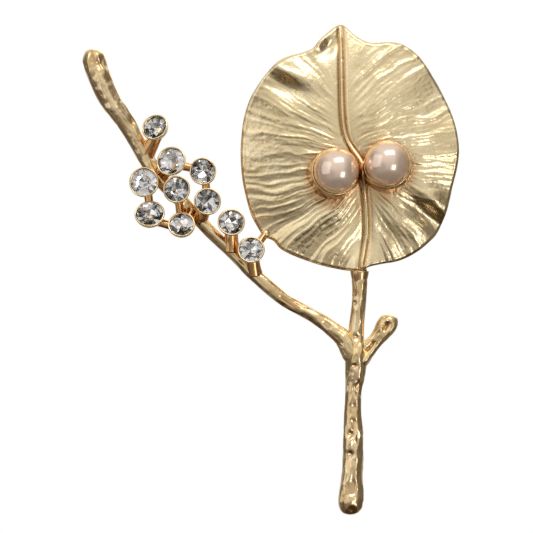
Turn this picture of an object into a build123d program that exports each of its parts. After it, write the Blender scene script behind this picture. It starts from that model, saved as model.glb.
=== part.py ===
from build123d import *
from math import cos, radians, sin, sqrt
import os

# Twig-and-leaf brooch, in millimetres, as worn: +Z up along the stem, +X to the right as seen from the
# front, and the front facing -Y. The origin is the middle of the pin stem's straight wire, which lies
# along X behind the leaf.

# ---- Leaf casting ----
LEAF_WIDTH = 29.0
LEAF_HEIGHT = 32.6
LEAF_CENTRE_Z = -4.0
LEAF_THICKNESS = 0.9
LEAF_RISE = 1.8                # how far the leaf's middle stands in front of its tip and base
LEAF_BACK_Y = -4.4             # back face at the middle of the leaf
RIB_WIDTH = 0.8
RIB_HEIGHT = 0.35
NECK_RADIUS = 1.0
NECK_DROP = 0.2                # neck boss below the leaf's lowest edge
NECK_RISE = 4.0
NECK_TOP_RADIUS = 0.5

# Leaf outline clockwise from the tip, as shares of the half width and half height.
LEAF_OUTLINE = [
    (-0.09, 1.00), (0.03, 0.93), (0.19, 0.87), (0.38, 0.87), (0.54, 0.82), (0.68, 0.70), (0.81, 0.52),
    (0.94, 0.27), (1.00, -0.02), (0.95, -0.31), (0.87, -0.57), (0.74, -0.75), (0.54, -0.88),
    (0.30, -0.94), (0.09, -1.00), (-0.14, -0.98), (-0.42, -0.91), (-0.67, -0.79), (-0.85, -0.64),
    (-0.96, -0.39), (-1.00, -0.02), (-0.97, 0.25), (-0.86, 0.49), (-0.65, 0.71), (-0.46, 0.77),
    (-0.33, 0.82), (-0.23, 0.92),
]
# Midrib from the base to the tip, in the same shares.
RIB_LINE = [
    (0.12, -0.90), (0.155, -0.67), (0.145, -0.42), (0.12, -0.18), (0.05, -0.05), (-0.02, 0.02),
    (-0.06, 0.15), (-0.075, 0.42), (-0.08, 0.70), (-0.085, 0.93),
]
NECK_AT = (0.09, -1.00)
NECK_TOP_AT = (0.13, -0.77)
BRIDGE_AT = (-0.775, -0.70)    # where the twig's bridge meets the leaf's rim
PEARL_AT = (-0.135, -0.197)    # middle of the left pearl

# ---- Twig casting ----
STEM_LENGTH = 32.2
BRANCH_REACH = 35.0
BRANCH_RISE = 38.3
TWIG_Y = -4.0
FORK_DROP = 10.1               # from the stem's top down to the fork
FORK_SHIFT = -0.6              # sideways from the neck to the fork
# Main stem from the top down: share of the length, sideways shift, radius.
STEM_SECTIONS = [
    (0.000, 0.00, 1.00), (0.115, -0.10, 0.96), (0.200, -0.35, 0.98), (0.280, -0.55, 1.15),
    (0.345, -0.50, 1.40), (0.405, -0.60, 1.30), (0.490, -0.80, 1.10), (0.575, -0.88, 1.18),
    (0.690, -0.85, 1.38), (0.780, -0.88, 1.37), (0.860, -1.05, 1.48), (0.930, -1.15, 1.68),
    (0.965, -1.18, 1.60), (0.990, -1.20, 1.15), (1.000, -1.20, 0.50),
]
# Side branch from the fork to its tip: share of the reach, share of the rise, radius.
BRANCH_SECTIONS = [
    (0.000, 0.000, 0.90), (0.050, 0.050, 1.00), (0.153, 0.106, 0.90), (0.268, 0.172, 0.90),
    (0.374, 0.252, 0.90), (0.469, 0.339, 0.87), (0.546, 0.405, 0.85), (0.629, 0.485, 0.85),
    (0.732, 0.583, 0.86), (0.774, 0.631, 0.95), (0.835, 0.729, 1.10), (0.875, 0.791, 1.22),
    (0.929, 0.861, 1.36), (0.970, 0.925, 1.46), (0.992, 0.985, 1.58), (1.000, 1.020, 1.45),
    (1.004, 1.041, 1.02), (1.005, 1.048, 0.48),
]
# Short stub twig from the fork: sideways, up, radius.
STUB_SECTIONS = [
    (0.00, -0.60, 0.90), (1.20, 0.00, 1.10), (2.40, 0.80, 1.05), (3.30, 1.90, 1.05),
    (4.20, 3.10, 1.35), (4.75, 3.95, 1.25), (5.05, 4.45, 0.80), (5.15, 4.60, 0.40),
]

# ---- Stones and their cups ----
SMALL_STONE_RADIUS = 1.55
LARGE_STONE_RADIUS = 1.75
STONE_CLEARANCE = 0.04
GIRDLE_HEIGHT = 0.12
CROWN_SHARE = 0.30             # crown height as a share of the stone's radius
PAVILION_SHARE = 0.55          # pavilion depth as a share of the stone's radius
TABLE_SHARE = 0.58
CULET_RADIUS = 0.12
SEAT_WIDTH = 0.25              # ledge under the stone, measured inwards from its outline
CUP_WALL = 0.22                # around the stone, above the ledge
CUP_RIM_RISE = 0.20            # rim above the girdle's middle
CUP_FLOOR_GAP = 0.10           # from the stone's point down to the pocket's floor
CUP_FLOOR = 0.45
CUP_BASE_RADIUS = 1.15
POCKET_FLOOR_RADIUS = 0.60
RIM_CLEAR_SPACE = 0.3          # cut clear in front of each rim
STONE_Y = -6.2                 # girdle level of an untilted cup
# Share of the reach, share of the rise, radius, tilt from straight ahead, way it leans (degrees
# anticlockwise from +X as seen from the front), and how far it stands forward of STONE_Y.
STONES = [
    (0.759, 0.769, SMALL_STONE_RADIUS, 28, 135, 0.4),
    (0.698, 0.652, LARGE_STONE_RADIUS, 22, 140, 0.5),
    (0.801, 0.580, LARGE_STONE_RADIUS, 12, 160, 0.2),
    (0.579, 0.618, SMALL_STONE_RADIUS, 12, 225, 0.3),
    (0.677, 0.554, SMALL_STONE_RADIUS, 5, 80, 0.9),
    (0.561, 0.513, SMALL_STONE_RADIUS, 5, 60, 0.5),
    (0.780, 0.470, LARGE_STONE_RADIUS, 30, 95, 0.0),
    (0.659, 0.433, SMALL_STONE_RADIUS, 25, 95, 0.3),
    (0.471, 0.441, SMALL_STONE_RADIUS, 12, 90, 0.0),
    (0.396, 0.346, SMALL_STONE_RADIUS, 15, 90, 0.1),
]
STALK_RADIUS = 0.50
STALK_FLARE_RADIUS = 0.80
# Stone number, then the place on the branch its stalk leaves, as shares of reach and rise.
STALKS = [
    (1, 0.794, 0.686), (2, 0.751, 0.608), (3, 0.763, 0.622), (5, 0.691, 0.543), (6, 0.595, 0.453),
    (8, 0.625, 0.478), (9, 0.474, 0.344), (10, 0.385, 0.262),
]
WEB_RADIUS = 0.50
WEBS = [(3, 7), (2, 4), (4, 6), (7, 8), (5, 8)]
BRIDGE_RADIUS = 0.45
BRIDGE_GAP = 0.45              # from the bridge's end to the middle of the leaf's rim

# ---- Pearls ----
PEARL_RADIUS = 3.0
PEARL_GAP = 0.73
PEARL_BEARING = 8.2            # the right pearl lies this many degrees above level from the left one
DRILL_RADIUS = 0.50
DRILL_DEPTH = 3.2
PEG_RADIUS = 0.42
PEG_END_GAP = 0.15
PEARL_CUP_WALL = 0.28
PEARL_CUP_CLEARANCE = 0.04
PEARL_CUP_FLOOR = 0.30
PEARL_CUP_FOOT_RADIUS = 1.8
PEARL_CUP_FOOT_RISE = 0.5      # foot above the cup's floor, where it joins the bowl
CEMENT_WELL_RADIUS = 1.30
CEMENT_WELL_DEPTH = 0.12
# Lip cut: the way each cup's high side faces (degrees anticlockwise from +X), and the cut's tilt.
PEARL_LIPS = [("left", 225, 20), ("right", 300, 20)]
LIP_DROP = 0.9                 # how far the lip's middle lies behind the pearl's widest level

# ---- Solder between the castings ----
NECK_SOLDER_THICKNESS = 0.25
NECK_SOLDER_PROUD = 0.12       # collar beyond the neck
BRIDGE_SOLDER_RADIUS = 0.65

# ---- Pin ----
PIN_RADIUS = 0.4
PIN_STRAIGHT = 18.8
PIN_TAPER = 3.5
PIN_POINT_RADIUS = 0.06
EYE_RADIUS = 1.1
EYE_PROUD = 0.05               # the eye's flat sides beyond the wire
RIVET_RADIUS = 0.4
RIVET_CLEARANCE = 0.05
RIVET_HEAD_RADIUS = 0.7
RIVET_HEAD_HEIGHT = 0.25
EAR_RADIUS = 1.05
EAR_THICKNESS = 0.5
EAR_SIDE_CLEARANCE = 0.10

# ---- Bar and catch ----
BAR_LENGTH = 26.0
BAR_WIDTH = 4.4
BAR_THICKNESS = 0.6
BAR_REAR_Y = -2.3
SOLDER_THICKNESS = 0.15
PAD_SPREAD = 15.0
PAD_RADIUS = 1.6
CATCH_GAP = 0.45               # from the end of the straight wire to the catch
CHEEK_THICKNESS = 0.4
CHEEK_WALL = 0.5               # around the journal's bore
CATCH_FOOT_WIDTH = 3.0
CATCH_FOOT_THICKNESS = 0.4
DRUM_LENGTH = 1.3
DRUM_STEP = 0.45               # drum beyond the journals
DRUM_SIDE_CLEARANCE = 0.10
JOURNAL_WALL = 0.40            # around the wire's bore
JOURNAL_CLEARANCE = 0.05
JOURNAL_PROUD = 0.10
WIRE_ROOM = 0.15               # between the wire and the catch's bore
SLOT_ROOM = 0.10               # between the wire and each side of the catch's slot
TAB_LENGTH = 2.9
TAB_WIDTH = 1.0
TAB_THICKNESS = 0.7
TAB_REST_ANGLE = -85           # from +Y towards +Z

# ---- Places worked out from the sizes ----
half_width = LEAF_WIDTH / 2
half_height = LEAF_HEIGHT / 2
dome_radius = (half_height**2 + LEAF_RISE**2) / (2 * LEAF_RISE)
dome_centre = Vector(0, LEAF_BACK_Y + dome_radius, LEAF_CENTRE_Z)
neck_x = NECK_AT[0] * half_width
neck_z = LEAF_CENTRE_Z + NECK_AT[1] * half_height - NECK_DROP
stem_top_z = neck_z - NECK_SOLDER_THICKNESS
fork_x = neck_x + FORK_SHIFT
fork_z = stem_top_z - FORK_DROP
hinge_x = -PIN_STRAIGHT / 2 - EYE_RADIUS
eye_thickness = 2 * (PIN_RADIUS + EYE_PROUD)
catch_start_x = PIN_STRAIGHT / 2 + CATCH_GAP
drum_room = DRUM_LENGTH + 2 * DRUM_SIDE_CLEARANCE
catch_length = drum_room + 2 * CHEEK_THICKNESS
catch_x = catch_start_x + catch_length / 2
bar_front_y = BAR_REAR_Y - BAR_THICKNESS
ear_inner_z = eye_thickness / 2 + EAR_SIDE_CLEARANCE
wire_bore_radius = PIN_RADIUS + WIRE_ROOM
journal_radius = wire_bore_radius + JOURNAL_WALL
drum_radius = journal_radius + DRUM_STEP
cheek_bore_radius = journal_radius + JOURNAL_CLEARANCE
cheek_radius = cheek_bore_radius + CHEEK_WALL
catch_slot = 2 * (PIN_RADIUS + SLOT_ROOM)
BASE_UP = (Align.CENTER, Align.CENTER, Align.MIN)


def leaf_place(share_x, share_z):
    """X and Z of a place on the leaf, from its shares of the half width and half height."""
    return share_x * half_width, LEAF_CENTRE_Z + share_z * half_height


def dome_y(x, z, radius):
    """Y of the dome of the given radius about the leaf's dome centre."""
    return dome_centre.Y - sqrt(radius**2 - x**2 - (z - LEAF_CENTRE_Z) ** 2)


def branch_place(share_x, share_z):
    """A point on the twig's middle plane, from its shares of the branch's reach and rise."""
    return Vector(fork_x - share_x * BRANCH_REACH, TWIG_Y, fork_z + share_z * BRANCH_RISE)


def tube_sections(stations):
    """Round sections across a path in the XZ plane, given as (point, radius) pairs.

    The first section lies level, so that the stem's top meets its solder squarely.
    """
    sections = []
    for i, (point, radius) in enumerate(stations):
        before = stations[max(i - 1, 0)][0]
        after = stations[min(i + 1, len(stations) - 1)][0]
        travel = after - before
        if i == 0:
            travel = Vector(0, 0, -1 if travel.Z < 0 else 1)
        across = Plane(origin=point, x_dir=(0, 1, 0), z_dir=travel)
        with BuildSketch(across) as section:
            Circle(radius)
        sections.append(section.sketch)
    return sections


def link(start, end, start_radius, end_radius):
    """A round bar from one point to another, tapered when the two radii differ."""
    with Locations(Plane(origin=start, z_dir=end - start)):
        if start_radius == end_radius:
            Cylinder(start_radius, (end - start).length, align=BASE_UP)
        else:
            Cone(start_radius, end_radius, (end - start).length, align=BASE_UP)


def seat_plane(stone):
    """Plane through a stone's girdle, with its Z axis pointing out of the cup."""
    share_x, share_z, _, tilt, bearing, forward = stone
    place = branch_place(share_x, share_z)
    lean = sin(radians(tilt))
    outward = Vector(
        lean * cos(radians(bearing)), -cos(radians(tilt)), lean * sin(radians(bearing))
    )
    return Plane(origin=(place.X, STONE_Y - forward, place.Z), z_dir=outward)


def seat_level(radius):
    """Height of the ledge the stone's pavilion rests on, from the girdle plane."""
    slope = PAVILION_SHARE * radius / (radius - CULET_RADIUS)
    return -GIRDLE_HEIGHT / 2 - slope * SEAT_WIDTH


def floor_level(radius):
    """Height of the pocket's floor under the stone, from the girdle plane."""
    return -GIRDLE_HEIGHT / 2 - PAVILION_SHARE * radius - CUP_FLOOR_GAP


def cup_base(stone):
    """Middle of the cup's underside."""
    return seat_plane(stone).offset(floor_level(stone[2]) - CUP_FLOOR).origin


def cup_middle(stone):
    """Point inside the cup's floor where the stalks and webs aim."""
    return seat_plane(stone).offset(floor_level(stone[2]) - CUP_FLOOR / 2).origin


def keep(piece, name):
    """Label a finished piece and write it as its own STEP file."""
    piece.part.label = name
    export_step(piece.part, f"parts/{name}.step")


os.makedirs("parts", exist_ok=True)

# ---- Leaf casting ----
with BuildPart() as midrib:
    with BuildSketch(Plane.XZ) as rib_outline:
        with BuildLine():
            Spline(*[leaf_place(u, v) for u, v in RIB_LINE])
        trace(line_width=RIB_WIDTH)
    extrude(amount=LEAF_HEIGHT)
    with Locations(dome_centre):
        Sphere(dome_radius + LEAF_THICKNESS + RIB_HEIGHT, mode=Mode.INTERSECT)
        Sphere(dome_radius + LEAF_THICKNESS / 2, mode=Mode.SUBTRACT)

with BuildPart() as leaf_casting:
    with BuildSketch(Plane.XZ) as leaf_outline:
        with BuildLine():
            Spline(*[leaf_place(u, v) for u, v in LEAF_OUTLINE], periodic=True)
        make_face()
    extrude(amount=LEAF_HEIGHT)
    with Locations(dome_centre):
        Sphere(dome_radius + LEAF_THICKNESS, mode=Mode.INTERSECT)
        Sphere(dome_radius, mode=Mode.SUBTRACT)
    add(midrib.part)
    neck_top_x, neck_top_z = leaf_place(*NECK_TOP_AT)
    with BuildSketch(Plane.XY.offset(neck_z)) as neck_foot:
        with Locations((neck_x, TWIG_Y)):
            Circle(NECK_RADIUS)
    with BuildSketch(Plane.XY.offset(neck_z + NECK_RISE)) as neck_top:
        with Locations((neck_top_x, LEAF_BACK_Y)):
            Circle(NECK_TOP_RADIUS)
    loft()
    for side in (-1, 1):
        with Locations(Plane((side * PAD_SPREAD / 2, bar_front_y - SOLDER_THICKNESS, 0), z_dir=(0, -1, 0))):
            pad_end_y = dome_y(PAD_SPREAD / 2, 0, dome_radius + LEAF_THICKNESS / 2)
            Cylinder(PAD_RADIUS, bar_front_y - SOLDER_THICKNESS - pad_end_y, align=BASE_UP)
keep(leaf_casting, "leaf_casting")

# ---- Twig casting: stem, side branch, stub, stalks, webs and stone cups in one piece ----
with BuildPart() as twig_casting:
    stem_stations = [
        (Vector(neck_x + shift, TWIG_Y, stem_top_z - share * STEM_LENGTH), radius)
        for share, shift, radius in STEM_SECTIONS
    ]
    branch_stations = [(branch_place(u, v), radius) for u, v, radius in BRANCH_SECTIONS]
    stub_stations = [
        (Vector(fork_x + sideways, TWIG_Y, fork_z + up), radius) for sideways, up, radius in STUB_SECTIONS
    ]
    for stations in (stem_stations, branch_stations, stub_stations):
        loft(tube_sections(stations), ruled=True)
    for stone in STONES:
        stone_radius = stone[2]
        rim_radius = stone_radius + STONE_CLEARANCE + CUP_WALL
        base = floor_level(stone_radius) - CUP_FLOOR
        collar = seat_level(stone_radius) - CUP_WALL
        with Locations(seat_plane(stone).offset(base)):
            Cone(CUP_BASE_RADIUS, rim_radius, collar - base, align=BASE_UP)
        with Locations(seat_plane(stone).offset(collar)):
            Cylinder(rim_radius, CUP_RIM_RISE - collar, align=BASE_UP)
    for number, u, v in STALKS:
        link(branch_place(u, v), cup_middle(STONES[number - 1]), STALK_RADIUS, STALK_FLARE_RADIUS)
    for first, second in WEBS:
        link(cup_middle(STONES[first - 1]), cup_middle(STONES[second - 1]), WEB_RADIUS, WEB_RADIUS)
    bridge_x, bridge_z = leaf_place(*BRIDGE_AT)
    bridge_goal = Vector(bridge_x, dome_y(bridge_x, bridge_z, dome_radius + LEAF_THICKNESS / 2), bridge_z)
    bridge_start = cup_base(STONES[-1])
    bridge_end = bridge_goal - (bridge_goal - bridge_start).normalized() * BRIDGE_GAP
    link(bridge_start, bridge_end, BRIDGE_RADIUS, BRIDGE_RADIUS)
    add(leaf_casting.part, mode=Mode.SUBTRACT)
    for stone in STONES:
        stone_radius = stone[2]
        seat = seat_level(stone_radius)
        floor = floor_level(stone_radius)
        with Locations(seat_plane(stone).offset(seat)):
            Cylinder(stone_radius + STONE_CLEARANCE, CUP_RIM_RISE + RIM_CLEAR_SPACE - seat, align=BASE_UP,
                     mode=Mode.SUBTRACT)
        with Locations(seat_plane(stone).offset(floor)):
            Cone(POCKET_FLOOR_RADIUS, stone_radius - SEAT_WIDTH, seat - floor, align=BASE_UP,
                 mode=Mode.SUBTRACT)
keep(twig_casting, "twig_casting")

# ---- Stones ----
stone_solids = []
for number, stone in enumerate(STONES, start=1):
    stone_radius = stone[2]
    girdle = seat_plane(stone)
    pavilion = PAVILION_SHARE * stone_radius
    with BuildPart() as cut_stone:
        with Locations(girdle.offset(-GIRDLE_HEIGHT / 2)):
            Cylinder(stone_radius, GIRDLE_HEIGHT, align=BASE_UP)
        with Locations(girdle.offset(-GIRDLE_HEIGHT / 2 - pavilion)):
            Cone(CULET_RADIUS, stone_radius, pavilion, align=BASE_UP)
        with Locations(girdle.offset(GIRDLE_HEIGHT / 2)):
            Cone(stone_radius, TABLE_SHARE * stone_radius, CROWN_SHARE * stone_radius, align=BASE_UP)
    keep(cut_stone, f"stone_{number:02d}")
    stone_solids.append(cut_stone.part)

# ---- Cement under the stones ----
with BuildPart() as stone_adhesive:
    for stone in STONES:
        stone_radius = stone[2]
        floor = floor_level(stone_radius)
        with Locations(seat_plane(stone).offset(floor)):
            Cone(POCKET_FLOOR_RADIUS, stone_radius - SEAT_WIDTH, seat_level(stone_radius) - floor,
                 align=BASE_UP)
    for solid in stone_solids:
        add(solid, mode=Mode.SUBTRACT)
keep(stone_adhesive, "stone_adhesive")

# ---- Pearls, their cups and the cement that holds them ----
left_x, left_z = leaf_place(*PEARL_AT)
pearl_pitch = 2 * PEARL_RADIUS + PEARL_GAP
pearl_places = [
    (left_x, left_z),
    (left_x + pearl_pitch * cos(radians(PEARL_BEARING)), left_z + pearl_pitch * sin(radians(PEARL_BEARING))),
]
pearl_solids = []
cup_solids = []
for (side, lip_bearing, lip_tilt), (pearl_x, pearl_z) in zip(PEARL_LIPS, pearl_places):
    leaf_front_y = dome_y(pearl_x, pearl_z, dome_radius + LEAF_THICKNESS)
    floor_y = leaf_front_y - PEARL_CUP_FLOOR
    pearl_y = floor_y - CEMENT_WELL_DEPTH - PEARL_RADIUS
    pearl_plane = Plane((pearl_x, pearl_y, pearl_z), z_dir=(0, -1, 0))
    floor_plane = Plane((pearl_x, floor_y, pearl_z), z_dir=(0, -1, 0))
    foot_plane = Plane((pearl_x, leaf_front_y + LEAF_THICKNESS / 2, pearl_z), z_dir=(0, -1, 0))
    drill_start = Plane((pearl_x, pearl_y + PEARL_RADIUS, pearl_z), z_dir=(0, -1, 0))
    foot_height = LEAF_THICKNESS / 2 + PEARL_CUP_FLOOR + PEARL_CUP_FOOT_RISE
    inner_radius = PEARL_RADIUS + PEARL_CUP_CLEARANCE
    lip_away = Vector(
        sin(radians(lip_tilt)) * -cos(radians(lip_bearing)),
        -cos(radians(lip_tilt)),
        sin(radians(lip_tilt)) * -sin(radians(lip_bearing)),
    )
    lip_plane = Plane((pearl_x, pearl_y + LIP_DROP, pearl_z), z_dir=lip_away)

    with BuildPart() as pearl:
        with Locations(pearl_plane):
            Sphere(PEARL_RADIUS)
        with Locations(drill_start):
            Cylinder(DRILL_RADIUS, DRILL_DEPTH, align=BASE_UP, mode=Mode.SUBTRACT)
    keep(pearl, f"pearl_{side}")
    pearl_solids.append(pearl.part)

    with BuildPart() as pearl_cup:
        with Locations(pearl_plane):
            Sphere(inner_radius + PEARL_CUP_WALL)
        split(bisect_by=lip_plane, keep=Keep.BOTTOM)
        with Locations(foot_plane):
            Cylinder(PEARL_CUP_FOOT_RADIUS, foot_height, align=BASE_UP)
        with Locations(pearl_plane):
            Sphere(inner_radius, mode=Mode.SUBTRACT)
        with Locations(floor_plane):
            Cylinder(CEMENT_WELL_RADIUS, CEMENT_WELL_DEPTH + PEARL_RADIUS, align=BASE_UP, mode=Mode.SUBTRACT)
            Cylinder(PEG_RADIUS, CEMENT_WELL_DEPTH + DRILL_DEPTH - PEG_END_GAP, align=BASE_UP)
        add(leaf_casting.part, mode=Mode.SUBTRACT)
    keep(pearl_cup, f"pearl_cup_{side}")
    cup_solids.append(pearl_cup.part)

with BuildPart() as pearl_adhesive:
    for pearl_x, pearl_z in pearl_places:
        floor_y = dome_y(pearl_x, pearl_z, dome_radius + LEAF_THICKNESS) - PEARL_CUP_FLOOR
        with Locations(Plane((pearl_x, floor_y, pearl_z), z_dir=(0, -1, 0))):
            Cylinder(CEMENT_WELL_RADIUS, CEMENT_WELL_DEPTH + PEARL_RADIUS / 2, align=BASE_UP)
            Cylinder(DRILL_RADIUS, CEMENT_WELL_DEPTH + DRILL_DEPTH, align=BASE_UP)
    for solid in pearl_solids + cup_solids:
        add(solid, mode=Mode.SUBTRACT)
keep(pearl_adhesive, "pearl_adhesive")

# ---- Solder joints between the castings ----
with BuildPart() as neck_solder:
    with Locations((neck_x, TWIG_Y, stem_top_z)):
        Cylinder(NECK_RADIUS + NECK_SOLDER_PROUD, NECK_SOLDER_THICKNESS, align=BASE_UP)
keep(neck_solder, "neck_solder")

with BuildPart() as bridge_solder:
    with Locations(bridge_goal):
        Sphere(BRIDGE_SOLDER_RADIUS)
    add(leaf_casting.part, mode=Mode.SUBTRACT)
    add(twig_casting.part, mode=Mode.SUBTRACT)
keep(bridge_solder, "bridge_solder")

# ---- Bar with its two hinge ears ----
with BuildPart() as pin_bar:
    with BuildSketch(Plane.XZ.offset(-BAR_REAR_Y)):
        SlotOverall(BAR_LENGTH, BAR_WIDTH)
    extrude(amount=BAR_THICKNESS)
    for ear_z in (ear_inner_z, -ear_inner_z - EAR_THICKNESS):
        with BuildSketch(Plane.XY.offset(ear_z)):
            with Locations((hinge_x, bar_front_y)):
                Rectangle(2 * EAR_RADIUS, -bar_front_y, align=(Align.CENTER, Align.MIN))
            with Locations((hinge_x, 0)):
                Circle(EAR_RADIUS)
                Circle(RIVET_RADIUS, mode=Mode.SUBTRACT)
        extrude(amount=EAR_THICKNESS)
keep(pin_bar, "pin_bar")

with BuildPart() as bar_solder:
    for side in (-1, 1):
        with Locations(Plane((side * PAD_SPREAD / 2, bar_front_y, 0), z_dir=(0, -1, 0))):
            Cylinder(PAD_RADIUS, SOLDER_THICKNESS, align=BASE_UP)
keep(bar_solder, "bar_solder")

# ---- Hinge rivet ----
rivet_shank = 2 * (ear_inner_z + EAR_THICKNESS)
with BuildPart() as hinge_rivet:
    with Locations((hinge_x, 0, 0)):
        Cylinder(RIVET_RADIUS, rivet_shank)
    for end in (-1, 1):
        with Locations((hinge_x, 0, end * (rivet_shank + RIVET_HEAD_HEIGHT) / 2)):
            Cylinder(RIVET_HEAD_RADIUS, RIVET_HEAD_HEIGHT)
keep(hinge_rivet, "hinge_rivet")

# ---- Pin stem ----
with BuildPart() as pin_stem:
    with Locations(Plane((hinge_x, 0, 0), z_dir=(1, 0, 0))):
        Cylinder(PIN_RADIUS, PIN_STRAIGHT + EYE_RADIUS, align=BASE_UP)
    with Locations(Plane((PIN_STRAIGHT / 2, 0, 0), z_dir=(1, 0, 0))):
        Cone(PIN_RADIUS, PIN_POINT_RADIUS, PIN_TAPER, align=BASE_UP)
    with Locations((hinge_x, 0, 0)):
        Cylinder(EYE_RADIUS, eye_thickness)
        Cylinder(RIVET_RADIUS + RIVET_CLEARANCE, eye_thickness, mode=Mode.SUBTRACT)
keep(pin_stem, "pin_stem")

# ---- Catch: fixed cheeks ----
with BuildPart() as catch_body:
    with BuildSketch(Plane.XZ.offset(-BAR_REAR_Y)):
        with Locations((catch_x, 0)):
            Rectangle(catch_length, CATCH_FOOT_WIDTH)
    extrude(amount=-CATCH_FOOT_THICKNESS)
    for cheek_x in (catch_start_x, catch_start_x + catch_length - CHEEK_THICKNESS):
        with BuildSketch(Plane.YZ.offset(cheek_x)):
            with Locations((BAR_REAR_Y, 0)):
                Rectangle(-BAR_REAR_Y, 2 * cheek_radius, align=(Align.MIN, Align.CENTER))
            Circle(cheek_radius)
            Circle(cheek_bore_radius, mode=Mode.SUBTRACT)
            Rectangle(2 * cheek_radius, catch_slot + 2 * JOURNAL_CLEARANCE,
                      align=(Align.MIN, Align.CENTER), mode=Mode.SUBTRACT)
        extrude(amount=CHEEK_THICKNESS)
keep(catch_body, "catch_body")

# ---- Catch: turning C-sleeve with its finger tab ----
journal_length = catch_length + 2 * JOURNAL_PROUD
along_catch = Plane((catch_x, 0, 0), x_dir=(0, 1, 0), z_dir=(1, 0, 0))
tab_way = Vector(0, cos(radians(TAB_REST_ANGLE)), sin(radians(TAB_REST_ANGLE)))
along_tab = Plane((catch_x, 0, 0), x_dir=tab_way, z_dir=tab_way.cross(Vector(1, 0, 0)))
with BuildPart() as catch_rotor:
    with Locations(along_catch):
        Cylinder(journal_radius, journal_length)
        Cylinder(drum_radius, DRUM_LENGTH)
    with BuildSketch(along_tab):
        Rectangle(TAB_LENGTH - TAB_WIDTH / 2, TAB_WIDTH, align=(Align.MIN, Align.CENTER))
        with Locations((TAB_LENGTH - TAB_WIDTH / 2, 0)):
            Circle(TAB_WIDTH / 2)
    extrude(amount=TAB_THICKNESS / 2, both=True)
    with Locations(along_catch):
        Cylinder(wire_bore_radius, journal_length, mode=Mode.SUBTRACT)
        Box(2 * drum_radius, catch_slot, journal_length, align=(Align.MIN, Align.CENTER, Align.CENTER),
            mode=Mode.SUBTRACT)
keep(catch_rotor, "catch_rotor")
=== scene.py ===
import bpy
import numpy as np
from bpy.props import FloatProperty, FloatVectorProperty, PointerProperty
from bpy.types import Operator, Panel, PropertyGroup
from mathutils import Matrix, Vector


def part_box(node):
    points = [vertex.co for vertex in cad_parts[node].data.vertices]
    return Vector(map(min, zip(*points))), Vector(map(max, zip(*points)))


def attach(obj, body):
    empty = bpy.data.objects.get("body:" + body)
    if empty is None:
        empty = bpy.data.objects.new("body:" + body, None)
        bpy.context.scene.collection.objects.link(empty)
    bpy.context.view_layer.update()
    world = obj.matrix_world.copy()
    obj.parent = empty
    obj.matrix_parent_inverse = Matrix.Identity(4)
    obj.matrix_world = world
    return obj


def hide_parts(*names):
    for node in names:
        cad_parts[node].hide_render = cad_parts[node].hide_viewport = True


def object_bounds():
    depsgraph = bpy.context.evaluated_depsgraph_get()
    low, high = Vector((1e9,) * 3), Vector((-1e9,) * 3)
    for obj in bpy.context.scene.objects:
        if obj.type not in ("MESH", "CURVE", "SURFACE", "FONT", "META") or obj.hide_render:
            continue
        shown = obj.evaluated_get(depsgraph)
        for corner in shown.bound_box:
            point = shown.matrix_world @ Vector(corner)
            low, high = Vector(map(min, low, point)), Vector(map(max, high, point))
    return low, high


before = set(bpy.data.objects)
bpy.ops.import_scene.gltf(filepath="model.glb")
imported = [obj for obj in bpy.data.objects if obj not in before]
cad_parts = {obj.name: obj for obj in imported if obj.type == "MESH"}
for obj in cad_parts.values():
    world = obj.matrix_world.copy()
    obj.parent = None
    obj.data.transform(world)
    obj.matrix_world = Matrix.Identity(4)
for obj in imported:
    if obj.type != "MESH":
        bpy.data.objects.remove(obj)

bl_info = {
    "name": "Twig and Leaf Brooch",
    "version": (1, 0, 0),
    "blender": (4, 5, 0),
    "location": "View3D > Sidebar > Brooch",
    "description": "Builds the castings, stones, pearls, pin finishes and studio of a twig-and-leaf brooch",
    "category": "Add Mesh",
}

MM = 0.001                      # one millimetre in metres: shapes below are worked out in millimetres
BODY = "brooch"
cad_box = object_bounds()


def node_box(node):
    """Lowest and highest corner of a CAD node, in millimetres."""
    low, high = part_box(node)
    return np.array(low) / MM, np.array(high) / MM


# ---- Places read from the frame ----
neck_low, neck_high = node_box("neck_solder")
leaf_low, leaf_high = node_box("leaf_casting")
pads_low, pads_high = node_box("bar_solder")
NECK = (neck_low + neck_high) / 2
STEM_TOP_Z = neck_low[2]
TWIG_Y = NECK[1]
STEM_LENGTH = STEM_TOP_Z - node_box("twig_casting")[0][2]
LEAF_HALF_WIDTH = (leaf_high[0] - leaf_low[0]) / 2
NECK_DROP = 0.2                 # solder's top below the outline's lowest point
TIP_ALLOWANCE = 0.1             # outline's tip below the casting's highest point
LEAF_BASE_Z = neck_high[2] + NECK_DROP
LEAF_TIP_Z = leaf_high[2] - TIP_ALLOWANCE
LEAF_HALF_HEIGHT = (LEAF_TIP_Z - LEAF_BASE_Z) / 2
LEAF_CENTRE_Z = (LEAF_TIP_Z + LEAF_BASE_Z) / 2

# ---- Leaf ----
LEAF_FRONT_Y = -5.3             # front face at the leaf's middle
LEAF_RISE = 1.8                 # how far the middle stands in front of the tip and base
LEAF_THICKNESS = 0.9
RIM_THICKNESS = 0.55
DOME_RADIUS = (LEAF_HALF_HEIGHT**2 + LEAF_RISE**2) / (2 * LEAF_RISE)
LEAF_HUB = np.array([0.2, -5.2])     # where the leaf's rays start, between the pearls
LEAF_RAYS = 560
LEAF_RINGS = 84
RING_CROWDING = 0.86            # below 1 the rings crowd towards the rim
RIM_BULGE = 0.10                # how far the rounded rim stands beyond the outline
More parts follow.
